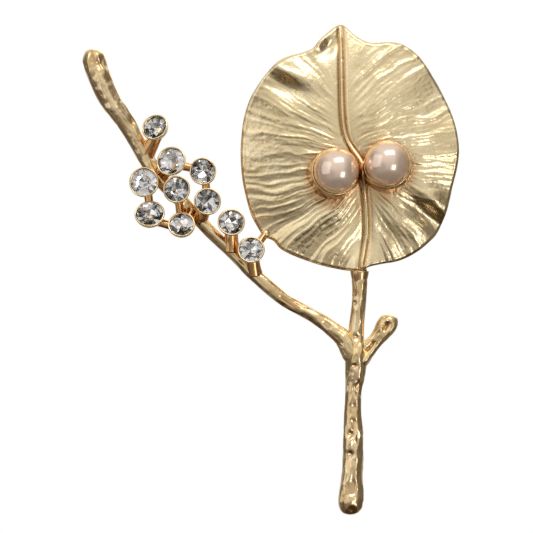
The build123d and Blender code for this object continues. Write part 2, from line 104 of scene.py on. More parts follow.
# Outline clockwise from the tip, as shares of the half width and half height.
LEAF_OUTLINE = np.array([
    (-0.090, 1.018), (-0.035, 0.998), (0.020, 0.948), (0.110, 0.890), (0.200, 0.862), (0.330, 0.866),
    (0.430, 0.862), (0.520, 0.830), (0.610, 0.772), (0.680, 0.700), (0.745, 0.610), (0.810, 0.515),
    (0.885, 0.385), (0.945, 0.255), (0.982, 0.125), (1.000, -0.020), (0.985, -0.160), (0.945, -0.310),
    (0.915, -0.430), (0.870, -0.570), (0.810, -0.690), (0.735, -0.762), (0.640, -0.832),
    (0.530, -0.890), (0.420, -0.925), (0.300, -0.942), (0.180, -0.965), (0.090, -1.000),
    (-0.020, -0.998), (-0.140, -0.980), (-0.280, -0.950), (-0.420, -0.908), (-0.550, -0.862),
    (-0.640, -0.815), (-0.700, -0.755), (-0.790, -0.715), (-0.850, -0.635), (-0.905, -0.540),
    (-0.950, -0.400), (-0.985, -0.250), (-1.000, -0.070), (-0.995, 0.080), (-0.972, 0.240),
    (-0.920, 0.390), (-0.850, 0.500), (-0.770, 0.600), (-0.655, 0.705), (-0.555, 0.752),
    (-0.440, 0.780), (-0.340, 0.815), (-0.275, 0.885), (-0.180, 0.966),
])
# Midrib from the base to the tip, in the same shares.
RIB_LINE = np.array([
    (0.100, -0.985), (0.125, -0.880), (0.148, -0.760), (0.156, -0.660), (0.150, -0.500),
    (0.130, -0.350), (0.118, -0.240), (0.112, -0.150), (0.075, -0.080), (0.028, -0.020),
    (-0.020, 0.055), (-0.052, 0.160), (-0.068, 0.320), (-0.074, 0.560), (-0.078, 0.800),
    (-0.085, 0.965),
])
RIB_RADIUS = 0.28
RIB_GROOVE_WIDTH = 0.50
RIB_GROOVE_DEPTH = 0.40
RIB_PROUD = 0.10
RIB_ARCH_HEIGHT = 1.35          # how far the midrib rises between the pearls
RIB_ARCH_WIDTH = 2.3
# Roots of the fan of veins: their level, and how far they lie beyond the midrib above and below it.
FAN_ROOT_Z = -6.0
FAN_ROOT_ABOVE = 6.5
FAN_ROOT_BELOW = 3.2
# Waves in a full turn of the fan.
PLEAT_WAVES = 14.0
RIDGE_WAVES = 24.0
VEIN_WAVES = 45.0
# Ruffles of the rim: height, waves round the leaf, shift in radians.
RUFFLES = [(0.34, 3, 0.6), (0.30, 5, 2.0), (0.18, 8, 0.4)]
# Folds of the blade: height, middle, bearing of the fold's line in degrees, length, width.
FOLDS = [(0.80, (-8.2, 5.1), -28, 3.2, 1.10), (0.64, (10.9, -12.2), -43, 2.8, 1.15),
         (0.46, (-3.4, 9.9), 42, 1.4, 0.75)]

# ---- Twig ----
BRANCH_REACH = 35.0
BRANCH_RISE = 38.3
FORK_SHIFT = -0.6
FORK_DROP = 10.1
FORK = np.array([NECK[0] + FORK_SHIFT, STEM_TOP_Z - FORK_DROP])
# Main stem from the top down: share of the length, sideways shift, radius.
STEM_STATIONS = np.array([
    (-0.006, 0.00, 1.08), (0.020, 0.00, 1.03), (0.060, 0.00, 0.98), (0.115, -0.10, 0.96),
    (0.200, -0.35, 0.97), (0.265, -0.50, 1.12), (0.305, -0.50, 1.42), (0.345, -0.50, 1.52),
    (0.405, -0.56, 1.36), (0.490, -0.80, 1.10), (0.575, -0.88, 1.16), (0.640, -0.85, 1.30),
    (0.700, -0.85, 1.36), (0.780, -0.88, 1.35), (0.850, -1.02, 1.46), (0.915, -1.13, 1.66),
    (0.950, -1.17, 1.70), (0.975, -1.15, 1.48), (0.991, -1.10, 1.02), (0.998, -1.08, 0.50),
])
# Side branch from the fork to its tip: share of the reach, share of the rise, radius.
BRANCH_STATIONS = np.array([
    (-0.004, -0.050, 1.00), (0.020, -0.006, 1.34), (0.052, 0.044, 1.16), (0.153, 0.113, 0.92),
    (0.268, 0.172, 0.90), (0.374, 0.252, 0.90), (0.469, 0.339, 0.87), (0.546, 0.405, 0.88),
    (0.629, 0.485, 0.92), (0.732, 0.583, 1.05), (0.774, 0.631, 1.10), (0.835, 0.729, 1.12),
    (0.875, 0.791, 1.22), (0.929, 0.861, 1.38), (0.960, 0.915, 1.46), (0.982, 0.965, 1.56),
    (0.993, 0.997, 1.58), (0.999, 1.022, 1.42), (1.003, 1.039, 1.00), (1.004, 1.046, 0.45),
])
# Short stub twig from the fork: sideways, up, radius.
STUB_STATIONS = np.array([
    (-0.15, -2.90, 0.90), (0.25, -1.90, 1.20), (0.90, -0.85, 1.38), (1.75, 0.10, 1.22),
    (2.70, 1.15, 1.02), (3.40, 2.05, 1.12), (4.10, 3.00, 1.32), (4.62, 3.75, 1.28),
    (4.95, 4.25, 0.92), (5.08, 4.50, 0.50),
])
BARK_AROUND = 88
BARK_STEP = 0.105
BARK_SEED = 100
BARK_SEED_STEP = 20             # from one twig's seed to the next
# Hollows pressed into the bark: sideways and up from the fork, radius, depth.
STUB_DENTS = [(4.15, 3.25, 0.45, 0.46), (3.90, 2.75, 0.35, 0.34), (1.25, -0.35, 0.50, 0.36),
              (1.75, 0.25, 0.40, 0.36), (2.25, 0.75, 0.35, 0.34)]
STEM_DENTS = [(-0.10, -2.2, 0.35, 0.24), (-0.65, -11.3, 0.38, 0.42), (-0.65, -13.9, 0.40, 0.36),
              (-0.45, -21.3, 0.50, 0.40), (-0.20, -7.6, 0.45, 0.20), (0.15, 1.6, 0.40, 0.22),
              (-0.25, 7.4, 0.35, 0.22), (-0.15, 6.2, 0.30, 0.18)]
BRANCH_DENTS = [(-6.2, 3.1, 0.5, 0.2), (-9.8, 5.6, 0.5, 0.2), (-26.8, 25.9, 0.5, 0.35),
                (-29.6, 30.4, 0.6, 0.3), (-33.9, 38.1, 0.6, 0.32)]
# Solder collar round the stem's top, in levels from the middle of the neck's solder.
COLLAR_FOOT = -1.80
COLLAR_TOP = 0.22
COLLAR_FOOT_RADIUS = 0.90
COLLAR_SPREAD = 0.34
# Even painted shade on the collar, tucked under the leaf.
COLLAR_PAINTED_SHADE = 0.55

# ---- Stones ----
SMALL_STONE = 1.55
LARGE_STONE = 1.75
STONE_Y = -6.2
# Share of the reach, share of the rise, radius, tilt, way it leans, forward, turn about its own axis.
STONES = [
    (0.759, 0.769, SMALL_STONE, 28, 135, 0.4, 10),
    (0.698, 0.652, LARGE_STONE, 22, 140, 0.5, 31),
    (0.801, 0.580, LARGE_STONE, 12, 160, 0.2, 4),
    (0.579, 0.618, SMALL_STONE, 12, 225, 0.3, 17),
    (0.677, 0.554, SMALL_STONE, 5, 80, 0.9, 38),
    (0.561, 0.513, SMALL_STONE, 5, 60, 0.5, 22),
    (0.780, 0.470, LARGE_STONE, 30, 95, 0.0, 13),
    (0.659, 0.433, SMALL_STONE, 25, 95, 0.3, 41),
    (0.471, 0.441, SMALL_STONE, 12, 90, 0.0, 7),
    (0.396, 0.346, SMALL_STONE, 15, 90, 0.1, 27),
]
GIRDLE_HALF = 0.06
# The cut, as shares of the stone's radius.
CROWN_SHARE = 0.30
TABLE_SHARE = 0.56
SHOULDER_SHARE = 0.80
SHOULDER_RISE_SHARE = 0.17
BACK_RING_SHARE = 0.46
FOIL_SHARE = 0.33               # depth of the cut stone below its girdle
BACK_RING_DEPTH = 0.62          # share of that depth
BACK_RING_SPREAD = 0.16         # how far the ring's points stray up and down, as a share of that depth
DARK_REFLECTION_FACETS = 0.22              # share of the back facets darkened as a painted dark reflection
FACET_SEED = 500
PAVILION_SHARE = 0.55           # room for the stone's point in its cup
CUP_WALL = 0.26
CUP_GAP = 0.02                  # between the stone and the cup
CUP_RIM_RISE = 0.20
CUP_BEAD_DROP = 0.12            # from the rim down to where its bead starts
CUP_BEAD_RISE = 0.14
CUP_WAVER = 0.035
CUP_FLOOR_DROP = 0.16
CUP_FLOOR_THICKNESS = 0.35
CUP_FOOT_RADIUS = 0.95
CUP_AROUND = 72
# Stone number, then the place on the branch its stalk leaves, as shares of reach and rise.
STALKS = [
    (1, 0.794, 0.686), (2, 0.751, 0.608), (3, 0.763, 0.622), (5, 0.691, 0.543), (6, 0.595, 0.453),
    (8, 0.625, 0.478), (9, 0.474, 0.344), (10, 0.385, 0.262),
]
WEBS = [(3, 7), (2, 4), (4, 6), (7, 8), (5, 8)]
WEB_SET_BACK = np.array([0.0, 0.5, 0.0])
BAR_FOOT_DROP = 0.22            # below a cup's inside floor, where its stalk and webs meet
# Bar radii at the start, the waist and the end.
STALK_RADII = (1.15, 0.76, 0.82)
WEB_RADII = (0.66, 0.56, 0.66)
BRIDGE_RADII = (0.70, 0.42, 0.50)
# Seeds of the bars' dimples, counted on from one bar to the next.
STALK_SEED = 0
WEB_SEED = 20
BRIDGE_SEED = 31
# Even painted shade on stalks, webs and bridge, which sit back between the cups.
BAR_PAINTED_SHADE = 0.75
BRIDGE_GOAL = (-0.775, -0.70)

# ---- Pearls ----
PEARL_NAMES = ("left", "right")
PEARL_LIP_BEARINGS = (225, 300)
PEARL_AROUND = 96
PEARL_RINGS = 64
PEARL_CUP_AROUND = 160
PEARL_GAP = 0.04                # between the pearl and its cup
PEARL_LIP = 0.15
PEARL_LIP_LOW = -2.2            # lip's level on its low side, from the pearl's middle
PEARL_LIP_LIFT = 2.25           # how much higher it is on its high side
PEARL_SKIRT = 0.58
PEARL_FOOT_REACH = 3.2          # where the leaf's level under the cup is read
PEARL_FOOT_SINK = 0.35          # skirt's foot below the leaf's front

# ---- Studio, in metres ----
FLOOR_HALF = 2.0
FLOOR_DROP = 0.42               # floor below the lowest point of the CAD
# Lights: name, place from the brooch's middle, width and height, brightness.
LIGHTS = [
    ("window", (0.10, -0.31, 0.44), (0.40, 0.20), 2.6),
    ("blob", (0.26, -0.39, -0.17), (0.16, 0.20), 2.6),
    ("left", (-0.46, -0.30, 0.12), (0.50, 0.60), 0.60),
    ("back", (0.10, 0.50, 0.35), (0.50, 0.50), 0.8),
]
# Soft tent: brightness runs straight from one value to another as a direction's measure goes from low to
# high, written as low, high, brightness at low, brightness at high.
TENT_RISE = (-0.95, 0.50, 0.14, 0.86)           # by height
TENT_FLANKS = (0.50, 0.88, 1.0, 0.22)           # by distance to either side
TENT_UNDERSIDE = (-0.84, -0.54, 0.10, 1.0)      # by height
TENT_PATCH_WAY = (-0.46, -0.84, -0.29)          # middle of the darker patch in front
TENT_PATCH = (0.930, 0.965, 1.0, 0.60)          # by how nearly a direction points at the patch
TENT_DARK = (0.045, 0.020, 0.0)
TENT_BRIGHT = (1.02, 0.99, 0.93)
VIEW_WIDTH = 0.07107            # what the camera sees across, at the twig
VIEW_MIDDLE = (-0.01113, -0.0045, -0.0198)
SENSOR_WIDTH = 36.0             # in millimetres
CAMERA_CLIP_START = 0.01


# =====================================================================================
# Number work: whole arrays, in millimetres
# =====================================================================================

NOISE_CELLS = 32                # the noise repeats after this many units
PATH_SAMPLES = 24               # points worked out between two stations of a path
ALONG = 0.8                     # an axis this close to a reference direction needs another reference


def smooth_step(low, high, value):
    """0 below low, 1 above high, and 3t^2 - 2t^3 between them."""
    t = np.clip((value - low) / (high - low), 0, 1)
    return t * t * (3 - 2 * t)


def value_noise(points, seed):
    """Smooth noise from 0 to 1. Each corner of a unit lattice has a fixed random height, and a point
    blends its eight corners by the smooth step of its place in the cell."""
    heights = np.random.default_rng(seed).random((NOISE_CELLS, NOISE_CELLS, NOISE_CELLS))
    cell = np.floor(points).astype(int)
    share = points - cell
    share = share * share * (3 - 2 * share)
    total = np.zeros(points.shape[:-1])
    for corner in np.ndindex(2, 2, 2):
        weight = np.prod(np.where(np.array(corner), share, 1 - share), axis=-1)
        at = (cell + corner) % NOISE_CELLS
        total += weight * heights[at[..., 0], at[..., 1], at[..., 2]]
    return total


def layered_noise(points, seed, layers=3):
    """Value noise from about -1 to 1, each layer twice as fine and half as strong as the last."""
    total = np.zeros(points.shape[:-1])
    for layer in range(layers):
        total += (value_noise(points * 2**layer, seed + layer) * 2 - 1) * 0.5**layer
    return total


def points_of(*columns):
    """Points from their columns of numbers."""
    return np.stack(columns, -1)


def round_angles(count):
    """Evenly spaced angles round a full turn, from 0."""
    return np.linspace(0, 2 * np.pi, count, endpoint=False)


def smooth_path(stations, step, closed=False):
    """Points evenly spaced along the Catmull-Rom curve through the stations.

    Between stations B and C with neighbours A and D the curve is half of
    2B + (C - A)t + (2A - 5B + 4C - D)t^2 + (3B - A - 3C + D)t^3. Every column is carried along."""
    stations = np.asarray(stations, float)
    if closed:
        padded = np.vstack([stations[-1], stations, stations[:2]])
    else:
        padded = np.vstack([2 * stations[0] - stations[1], stations, 2 * stations[-1] - stations[-2]])
    a, b, c, d = (padded[i:len(padded) - 3 + i, None, :] for i in range(4))
    t = np.linspace(0, 1, PATH_SAMPLES, endpoint=False)[None, :, None]
    curve = 0.5 * (2 * b + (c - a) * t + (2 * a - 5 * b + 4 * c - d) * t**2
                   + (3 * b - a - 3 * c + d) * t**3)
    curve = curve.reshape(-1, stations.shape[1])
    curve = np.vstack([curve, stations[0] if closed else stations[-1]])
    span = min(3, stations.shape[1])
    run = np.r_[0, np.cumsum(np.linalg.norm(np.diff(curve[:, :span], axis=0), axis=1))]
    count = max(4, int(round(run[-1] / step)))
    places = np.linspace(0, run[-1], count + 1)
    if closed:
        places = places[:-1]
    return np.stack([np.interp(places, run, column) for column in curve.T], axis=1)


def unit(vectors):
    """The same directions with length one."""
    return vectors / np.linalg.norm(vectors, axis=-1, keepdims=True)


def grid_faces(rows, columns):
    """Four-sided faces of a grid of rows by columns, numbered row by row, whose last column meets the
    first."""
    row, column = np.meshgrid(np.arange(rows - 1), np.arange(columns), indexing="ij")
    beside = (column + 1) % columns
    corners = [row * columns + column, row * columns + beside,
               (row + 1) * columns + beside, (row + 1) * columns + column]
    return np.stack(corners, axis=-1).reshape(-1, 4)


def fan_faces(ring, pole):
    """Three-sided faces from a ring of vertex numbers to one pole vertex."""
    return np.stack([ring, np.roll(ring, -1), np.full(len(ring), pole)], axis=1)


def shell(rows):
    """A closed surface from rows of points, an array of rows x columns x 3: the grid wraps round each
    row, and a pole at the middle of the first and the last row closes it. Faces are turned to point out."""
    count, columns, _ = rows.shape
    points = np.vstack([rows.reshape(-1, 3), rows[0].mean(0), rows[-1].mean(0)])
    quads = grid_faces(count, columns)
    first = fan_faces(np.arange(columns)[::-1], count * columns)
    last = fan_faces((count - 1) * columns + np.arange(columns), count * columns + 1)
    caps = np.vstack([first, last])
    if signed_volume(points, quads) + signed_volume(points, caps) < 0:
        quads, caps = quads[:, ::-1], caps[:, ::-1]
    return points, [quads, caps]


def signed_volume(points, faces):
    """Sum over the faces of corner . (corner x corner) / 6, cut into triangles from the first corner."""
    total = 0.0
    for i in range(1, faces.shape[1] - 1):
        a, b, c = points[faces[:, 0]], points[faces[:, i]], points[faces[:, i + 1]]
        total += np.einsum("ij,ij->", a, np.cross(b, c)) / 6
    return total


def path_frame(path):
    """Two directions across the travel at each point of a path. The first is the part of a fixed reference
    that is square to the travel; the second is square to both."""
    travel = unit(np.gradient(path, axis=0))
    reference = np.array([0.0, 1.0, 0.0]) if abs(travel[:, 1]).max() < ALONG else np.array([1.0, 0.0, 0.0])
    side = unit(reference - (travel @ reference)[:, None] * travel)
    return side, np.cross(travel, side)


def tube_rows(path, radii, around, relief=0.0):
    """Rings of radius + relief about each point of a path, as rows of points."""
    side, up = path_frame(path)
    turn = round_angles(around)
    out = side[:, None, :] * np.cos(turn)[None, :, None] + up[:, None, :] * np.sin(turn)[None, :, None]
    reach = radii[:, None] + np.zeros(around)[None, :] + relief
    return path[:, None, :] + out * reach[..., None]


def ring_directions(axis, turn):
    """Directions square to an axis, one for each angle: side x cos + up x sin."""
    reference = np.array([0.0, 0.0, 1.0]) if abs(axis[2]) < ALONG else np.array([1.0, 0.0, 0.0])
    side = unit(np.cross(reference, axis))
    up = np.cross(axis, side)
    return side * np.cos(turn)[:, None] + up * np.sin(turn)[:, None]


def turned_rows(centre, axis, levels, radii, around, twist=0.0):
    """A turned shape: each point lies at centre + direction x radius + axis x level.

    levels and radii hold a number for each ring, or a row of numbers for the points of each ring."""
    axis = np.asarray(axis, float)
    out = ring_directions(axis, round_angles(around) + twist)

    def each_point(values):
        """A number for every point of every ring."""
        values = np.asarray(values, float)
        return (values[:, None] if values.ndim == 1 else values) * np.ones(around)

    return centre + out * each_point(radii)[..., None] + axis * each_point(levels)[..., None]


# =====================================================================================
# Blender side: meshes and shader helpers
# =====================================================================================

GRAIN_HEIGHT = 0.00004          # in metres


def build_piece(name, shells, materials, replaced=(), body=BODY, vertex_painted_shade=None, face_slots=None,
                smooth=True, face_painted_reflections=None):
    """One mesh object from several closed shells, riding on its body.

    shells is a list of (points, [face arrays]); the per-vertex shade values give each vertex 0 to 1 of
    painted shade in the darker warm colour, face_slots each face's material, and the per-face reflection
    values give each face 1 for bright foil or 0 for a painted dark reflection."""
    points = np.vstack([p for p, _ in shells])
    faces = []
    start = 0
    for shell_points, arrays in shells:
        for array in arrays:
            faces.extend((array + start).tolist())
        start += len(shell_points)
    mesh = bpy.data.meshes.new(name)
    mesh.from_pydata((points * MM).tolist(), [], faces)
    # Per-vertex painted shade: 0 to 1 of the darker warm colour, painted into crevices, hollows and between
    # parts.
    if vertex_painted_shade is not None:
        attribute = mesh.attributes.new("painted_shade", "FLOAT", "POINT")
        attribute.data.foreach_set("value", np.clip(vertex_painted_shade, 0, 1).astype(np.float32))
    # Per-face painted reflection: 1 for bright foil, 0 for a painted dark reflection.
    if face_painted_reflections is not None:
        attribute = mesh.attributes.new("facet_painted_reflection", "FLOAT", "FACE")
        attribute.data.foreach_set("value", face_painted_reflections.astype(np.float32))
    mesh.polygons.foreach_set("use_smooth", np.full(len(faces), smooth))
    for material in materials:
        mesh.materials.append(material)
    if face_slots is not None:
        mesh.polygons.foreach_set("material_index", face_slots)
    mesh.update()
    piece = bpy.data.objects.new(name, mesh)
    bpy.context.scene.collection.objects.link(piece)
    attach(piece, body)
    if replaced:
        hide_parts(*replaced)
    return piece


def new_material(name):
    """A new node material, its tree and its Principled BSDF."""
    material = bpy.data.materials.new(name)
    material.use_nodes = True
    tree = material.node_tree
    return material, tree, tree.nodes["Principled BSDF"]


def set_inputs(tree, node, inputs):
    """Put fixed values or links on a node's inputs."""
    for key, value in inputs.items():
        if isinstance(value, bpy.types.NodeSocket):
            tree.links.new(value, node.inputs[key])
        else:
            node.inputs[key].default_value = value


def add_node(tree, kind, inputs=None, **settings):
    """A node with settings on itself and fixed values or links on its inputs."""
    node = tree.nodes.new(kind)
    for key, value in settings.items():
        setattr(node, key, value)
    set_inputs(tree, node, inputs or {})
    return node


def cloud(tree, scale, detail, roughness=0.5):
    """Noise from 0 to 1 through the piece, read in its own coordinates."""
    place = add_node(tree, "ShaderNodeTexCoord").outputs["Object"]
    noise = add_node(tree, "ShaderNodeTexNoise", {
        "Vector": place, "Scale": scale, "Detail": detail, "Roughness": roughness})
    return noise.outputs["Fac"]


def ramp(tree, value, low, high, at_low=0.0, at_high=1.0):
    """A straight run from at_low to at_high as the value goes from low to high, and level beyond."""
    node = add_node(tree, "ShaderNodeMapRange", {
        "Value": value, "From Min": low, "From Max": high, "To Min": at_low, "To Max": at_high})
    return node.outputs["Result"]


def blend(tree, share, first, second, clamp=True):
    """A colour that goes from the first to the second as the share goes from 0 to 1."""
    node = add_node(tree, "ShaderNodeMix", {"Factor": share, "A": first, "B": second},
                    data_type="RGBA", clamp_factor=clamp)
    return node.outputs["Result"]


def combine(tree, operation, *values):
    """The result of a Math node on its values."""
    return add_node(tree, "ShaderNodeMath", dict(enumerate(values)), operation=operation).outputs[0]


def new_group(name, inputs, outputs):
    """A shader node group with named sockets; returns its tree and its input and output nodes."""
    tree = bpy.data.node_groups.new(name, "ShaderNodeTree")
    for label, kind, default in inputs:
        socket = tree.interface.new_socket(name=label, in_out="INPUT", socket_type=kind)
        socket.default_value = default
    for label, kind in outputs:
        tree.interface.new_socket(name=label, in_out="OUTPUT", socket_type=kind)
    return tree, tree.nodes.new("NodeGroupInput"), tree.nodes.new("NodeGroupOutput")


def plate_group():
    """Plated metal: colour drifts with a broad cloud, turns to the painted shade colour where the per-vertex
    painted shade is high, and the roughness and the grain vary with a fine cloud."""
    if "Plate" in bpy.data.node_groups:
        return bpy.data.node_groups["Plate"]
    white = (1.0, 1.0, 1.0, 1.0)
    tree, source, result = new_group(
        "Plate",
        [("Color", "NodeSocketColor", white), ("Pale Color", "NodeSocketColor", white),
         ("Painted Shade Color", "NodeSocketColor", white), ("Painted Shade", "NodeSocketFloat", 0.0),
         ("Roughness", "NodeSocketFloat", 0.3), ("Roughness Spread", "NodeSocketFloat", 0.1),
         ("Cloud Scale", "NodeSocketFloat", 200.0), ("Grain Scale", "NodeSocketFloat", 3000.0)],
        [("Color", "NodeSocketColor"), ("Roughness", "NodeSocketFloat"), ("Grain", "NodeSocketFloat")],
    )
    given = source.outputs
    drift = ramp(tree, cloud(tree, given["Cloud Scale"], 3.0, 0.55), 0.35, 0.65)
    grain = cloud(tree, given["Grain Scale"], 2.0, 0.6)
    pale = blend(tree, drift, given["Color"], given["Pale Color"])
    swing = combine(tree, "SUBTRACT", grain, 0.5)
    # Painted shade: the drifting plate colour turns to the darker warm colour by the painted shade amount.
    set_inputs(tree, result, {
        "Color": blend(tree, given["Painted Shade"], pale, given["Painted Shade Color"]),
        "Roughness": combine(tree, "MULTIPLY_ADD", swing, given["Roughness Spread"], given["Roughness"]),
        "Grain": grain,
    })
    return tree


def plated_metal(name, colors, roughness, spread, cloud_scale, grain_scale, bump, with_painted_shade=True):
    """A plated metal finish: the Plate group feeds colour and roughness, and its grain feeds a bump.

    colors are the body, pale and painted shade colours; pieces with painted shade carry their own per-vertex
    painted shade."""
    if name in bpy.data.materials:
        return bpy.data.materials[name]
    material, tree, shader = new_material(name)
    plate = add_node(tree, "ShaderNodeGroup", node_tree=plate_group())
    body, pale, painted_shade_color = colors
    set_inputs(tree, plate, {
        "Color": (*body, 1), "Pale Color": (*pale, 1), "Painted Shade Color": (*painted_shade_color, 1),
        "Roughness": roughness, "Roughness Spread": spread,
        "Cloud Scale": cloud_scale, "Grain Scale": grain_scale})
    # Pieces with painted shade read it from their per-vertex attribute.
    if with_painted_shade:
        painted_shade = add_node(tree, "ShaderNodeAttribute", attribute_name="painted_shade")
        set_inputs(tree, plate, {"Painted Shade": painted_shade.outputs["Fac"]})
    grit = add_node(tree, "ShaderNodeBump", {
        "Height": plate.outputs["Grain"], "Strength": bump, "Distance": GRAIN_HEIGHT})
    set_inputs(tree, shader, {
        "Metallic": 1.0, "Base Color": plate.outputs["Color"], "Roughness": plate.outputs["Roughness"],
        "Normal": grit.outputs["Normal"]})
    return material


# =====================================================================================
# Settings
# =====================================================================================

def tone(name, description, default):
    """A colour property with the usual limits."""
    return FloatVectorProperty(name=name, description=description, subtype="COLOR", size=3,
                               default=default, min=0.0, max=1.0)


class BroochSizes(PropertyGroup):
    """Depths of the cast surface detail."""

    vein_depth: FloatProperty(name="Vein Depth", description="Height of the leaf's fine veins, in metres",
                              default=0.00009, min=0.0, max=0.001, unit="LENGTH")
    pleat_depth: FloatProperty(name="Pleat Depth", description="Height of the leaf's broad pleats, in metres",
                               default=0.00013, min=0.0, max=0.001, unit="LENGTH")
    bark_depth: FloatProperty(name="Bark Depth", description="Depth of the bark's ridges, in metres",
                              default=0.00016, min=0.0, max=0.001, unit="LENGTH")
    lens: FloatProperty(name="Lens", description="Focal length of the studio camera, in millimetres",
                        default=135.0, min=20.0, max=400.0)


class BroochColors(PropertyGroup):
    """Colours of the finishes."""

    leaf: tone("Leaf", "Satin champagne plate on the leaf", (0.81, 0.665, 0.405))
    leaf_pale: tone("Leaf Pale", "Paler drift in the leaf's plate", (0.90, 0.765, 0.51))
    twig: tone("Twig", "Polished plate on the twig", (0.80, 0.60, 0.32))
    twig_pale: tone("Twig Pale", "Paler drift in the twig's plate", (0.90, 0.73, 0.47))
    # The next three colours are painted shade: darker orange gold painted into crevices, hollows, cup floors,
    # stalks and low in the pearls' cups, where shade falls.
    painted_shade_color: tone("Crevices", "Deeper orange gold in crevices and stalks", (0.58, 0.35, 0.17))
    painted_shade_cup_color: tone("Cup Crevices", "Deep orange gold in the cups and stalks", (0.66, 0.35, 0.14))
    painted_shade_pearl_cup_color: tone("Pearl Cup Crevices", "Burnt orange gold low in the pearls' cups", (0.60, 0.24, 0.07))
    pearl: tone("Pearl", "Body colour of the pearls", (0.84, 0.66, 0.54))
    # Painted reflection: gold of the cup and leaf mixed into the pearls' colour towards their outline.
    pearl_painted_gold_reflection: tone("Pearl Edge", "Colour of the pearls towards their outline", (0.84, 0.48, 0.19))
    foil: tone("Foil", "Silvering behind the stones", (0.97, 0.97, 0.98))
    # Painted dark reflection on a share of the back facets.
    foil_painted_dark_reflection: tone("Foil Shade", "Silvering on the duller back facets", (0.13, 0.135, 0.145))
    steel_pale: tone("Steel Pale", "Paler drift in the pin wire", (0.78, 0.72, 0.60))
    glass: tone("Glass", "Clear stone", (0.98, 0.99, 1.0))
    cement: tone("Cement", "Cured cement", (0.78, 0.74, 0.62))
    cement_pale: tone("Cement Pale", "Paler drift in the cement", (0.88, 0.85, 0.76))
    floor: tone("Floor", "Studio floor", (0.92, 0.92, 0.91))


# =====================================================================================
# Leaf
# =====================================================================================

def leaf_place(shares):
    """X and Z on the leaf from shares of its half width and half height."""
    shares = np.asarray(shares, float)
    return np.stack([shares[..., 0] * LEAF_HALF_WIDTH, LEAF_CENTRE_Z + shares[..., 1] * LEAF_HALF_HEIGHT], -1)


def rib_offset(x, z):
    """Sideways distance from the midrib, positive to its right."""
    line = smooth_path(leaf_place(RIB_LINE), 0.4)
    return x - np.interp(z, line[:, 1], line[:, 0])


def pearl_centres():
    """Middles of the two pearls, from their CAD nodes."""
    places = []
    for name in PEARL_NAMES:
        low, high = node_box(f"pearl_{name}")
        places.append((low + high) / 2)
    return np.array(places)


def pearl_radius():
    """Radius of a pearl, from its CAD node."""
    low, high = node_box("pearl_left")
    return (high[0] - low[0]) / 2


def leaf_relief(x, z, edge, sizes):
    """Height of the leaf's front above its plain dome, and the painted shade of its crevices.

    The veins are level lines of the fan angle atan2(height above the fan's root, distance from the
    midrib + distance of the root), so that they leave the midrib along its length and spread. Three sorts
    of wave are added along that angle: broad pleats, ridges sharpened as 1 - |sin|, and noise stretched
    along the veins. The midrib lies in a groove of depth exp(-(offset / width)^2), and the blade swells
    beside it and falls away at the flanks. Towards the rim slow waves ruffle the blade, and folds turn
    sharply away from the light."""
    off = rib_offset(x, z)
    side = np.where(off >= 0, 1.0, -1.0)
    reach = np.abs(off)
    height = z - FAN_ROOT_Z
    fan = np.arctan2(height, reach + np.where(height > 0, FAN_ROOT_ABOVE, FAN_ROOT_BELOW))
    wander = layered_noise(points_of(x * 0.11, z * 0.11, side * 3.0), 11, 2)
    drift = layered_noise(points_of(x * 0.30, z * 0.30, side * 5.0), 17, 2)
    lane = fan + 0.055 * wander + 0.014 * drift
    near_rib = smooth_step(0.4, 3.0, reach)
    outward = smooth_step(0.0, 0.9, edge)
    bottom = smooth_step(-10.0, -15.0, z)
    strength = value_noise(points_of(lane * 5.0, side * 2.0, reach * 0.10), 23)

    pleat = np.sin(lane * PLEAT_WAVES + side * 0.8 + 0.8 * wander)
    pleat_size = sizes.pleat_depth / MM * near_rib * (0.35 + 0.65 * outward) * (0.3 + 1.1 * strength)
    calm = 1 - 0.50 * np.exp(-(height / 7.5) ** 2) * (1 - bottom)
    broad = pleat * pleat_size * calm * (1 + 1.3 * bottom)

    ridge = (1 - np.abs(np.sin(lane * RIDGE_WAVES + side * 1.7 + 0.5 * drift))) ** 2.4
    fine = (1 - np.abs(np.sin(lane * VEIN_WAVES + 0.8 * drift))) ** 2
    ridge_patches = value_noise(points_of(lane * 8.0, side * 7.0, reach * 0.16), 31)
    fine_patches = value_noise(points_of(lane * 12.0, side * 9.0, reach * 0.22), 37)
    break_up = smooth_step(0.35, 0.65, ridge_patches)
    break_fine = smooth_step(0.40, 0.65, fine_patches)
    comb = smooth_step(-5.0, -9.0, z) * (off < 0)
    veins = sizes.vein_depth / MM * near_rib * (0.5 + 0.5 * calm) * (
        1.3 * ridge * break_up + (0.7 + 0.45 * comb) * fine * np.maximum(break_fine, comb))
    streak = layered_noise(points_of(lane * 34.0, side * 4.0, reach * 0.40), 41, 3)
    skin = layered_noise(points_of(x * 2.6, z * 2.6, side * 2.0), 47, 2)
    veins = veins + near_rib * (0.046 * streak + 0.016 * skin)

    groove = -RIB_GROOVE_DEPTH * np.exp(-(off / RIB_GROOVE_WIDTH) ** 2)
    crown = 0.30 * smooth_step(0.3, 5.0, reach) - 0.45 * smooth_step(7.0, 14.5, reach)
    angle = np.arctan2(z - LEAF_CENTRE_Z, x)
    ruffle = edge**4 * sum(rise * np.sin(waves * angle + shift) for rise, waves, shift in RUFFLES)
    folds = sum(rise * fold(x, z, *shape) for rise, *shape in FOLDS)
    rim = 0.03 * np.exp(-((edge - 0.978) / 0.008) ** 2) - 0.14 * smooth_step(0.985, 1.0, edge) ** 2
    pits = layered_noise(points_of(x * 1.9, z * 1.9, x * 0 + 0.5), 53, 2)
    pitting = -0.045 * smooth_step(0.62, 0.95, pits)
    chin = 1.2 * np.exp(-((x - NECK[0]) / 2.0) ** 2) * smooth_step(-16.0, -20.2, z)
    total = broad + veins + groove + crown + ruffle + folds + rim + pitting + chin
    return total, painted_crevice_shade(x, z, reach, drift)


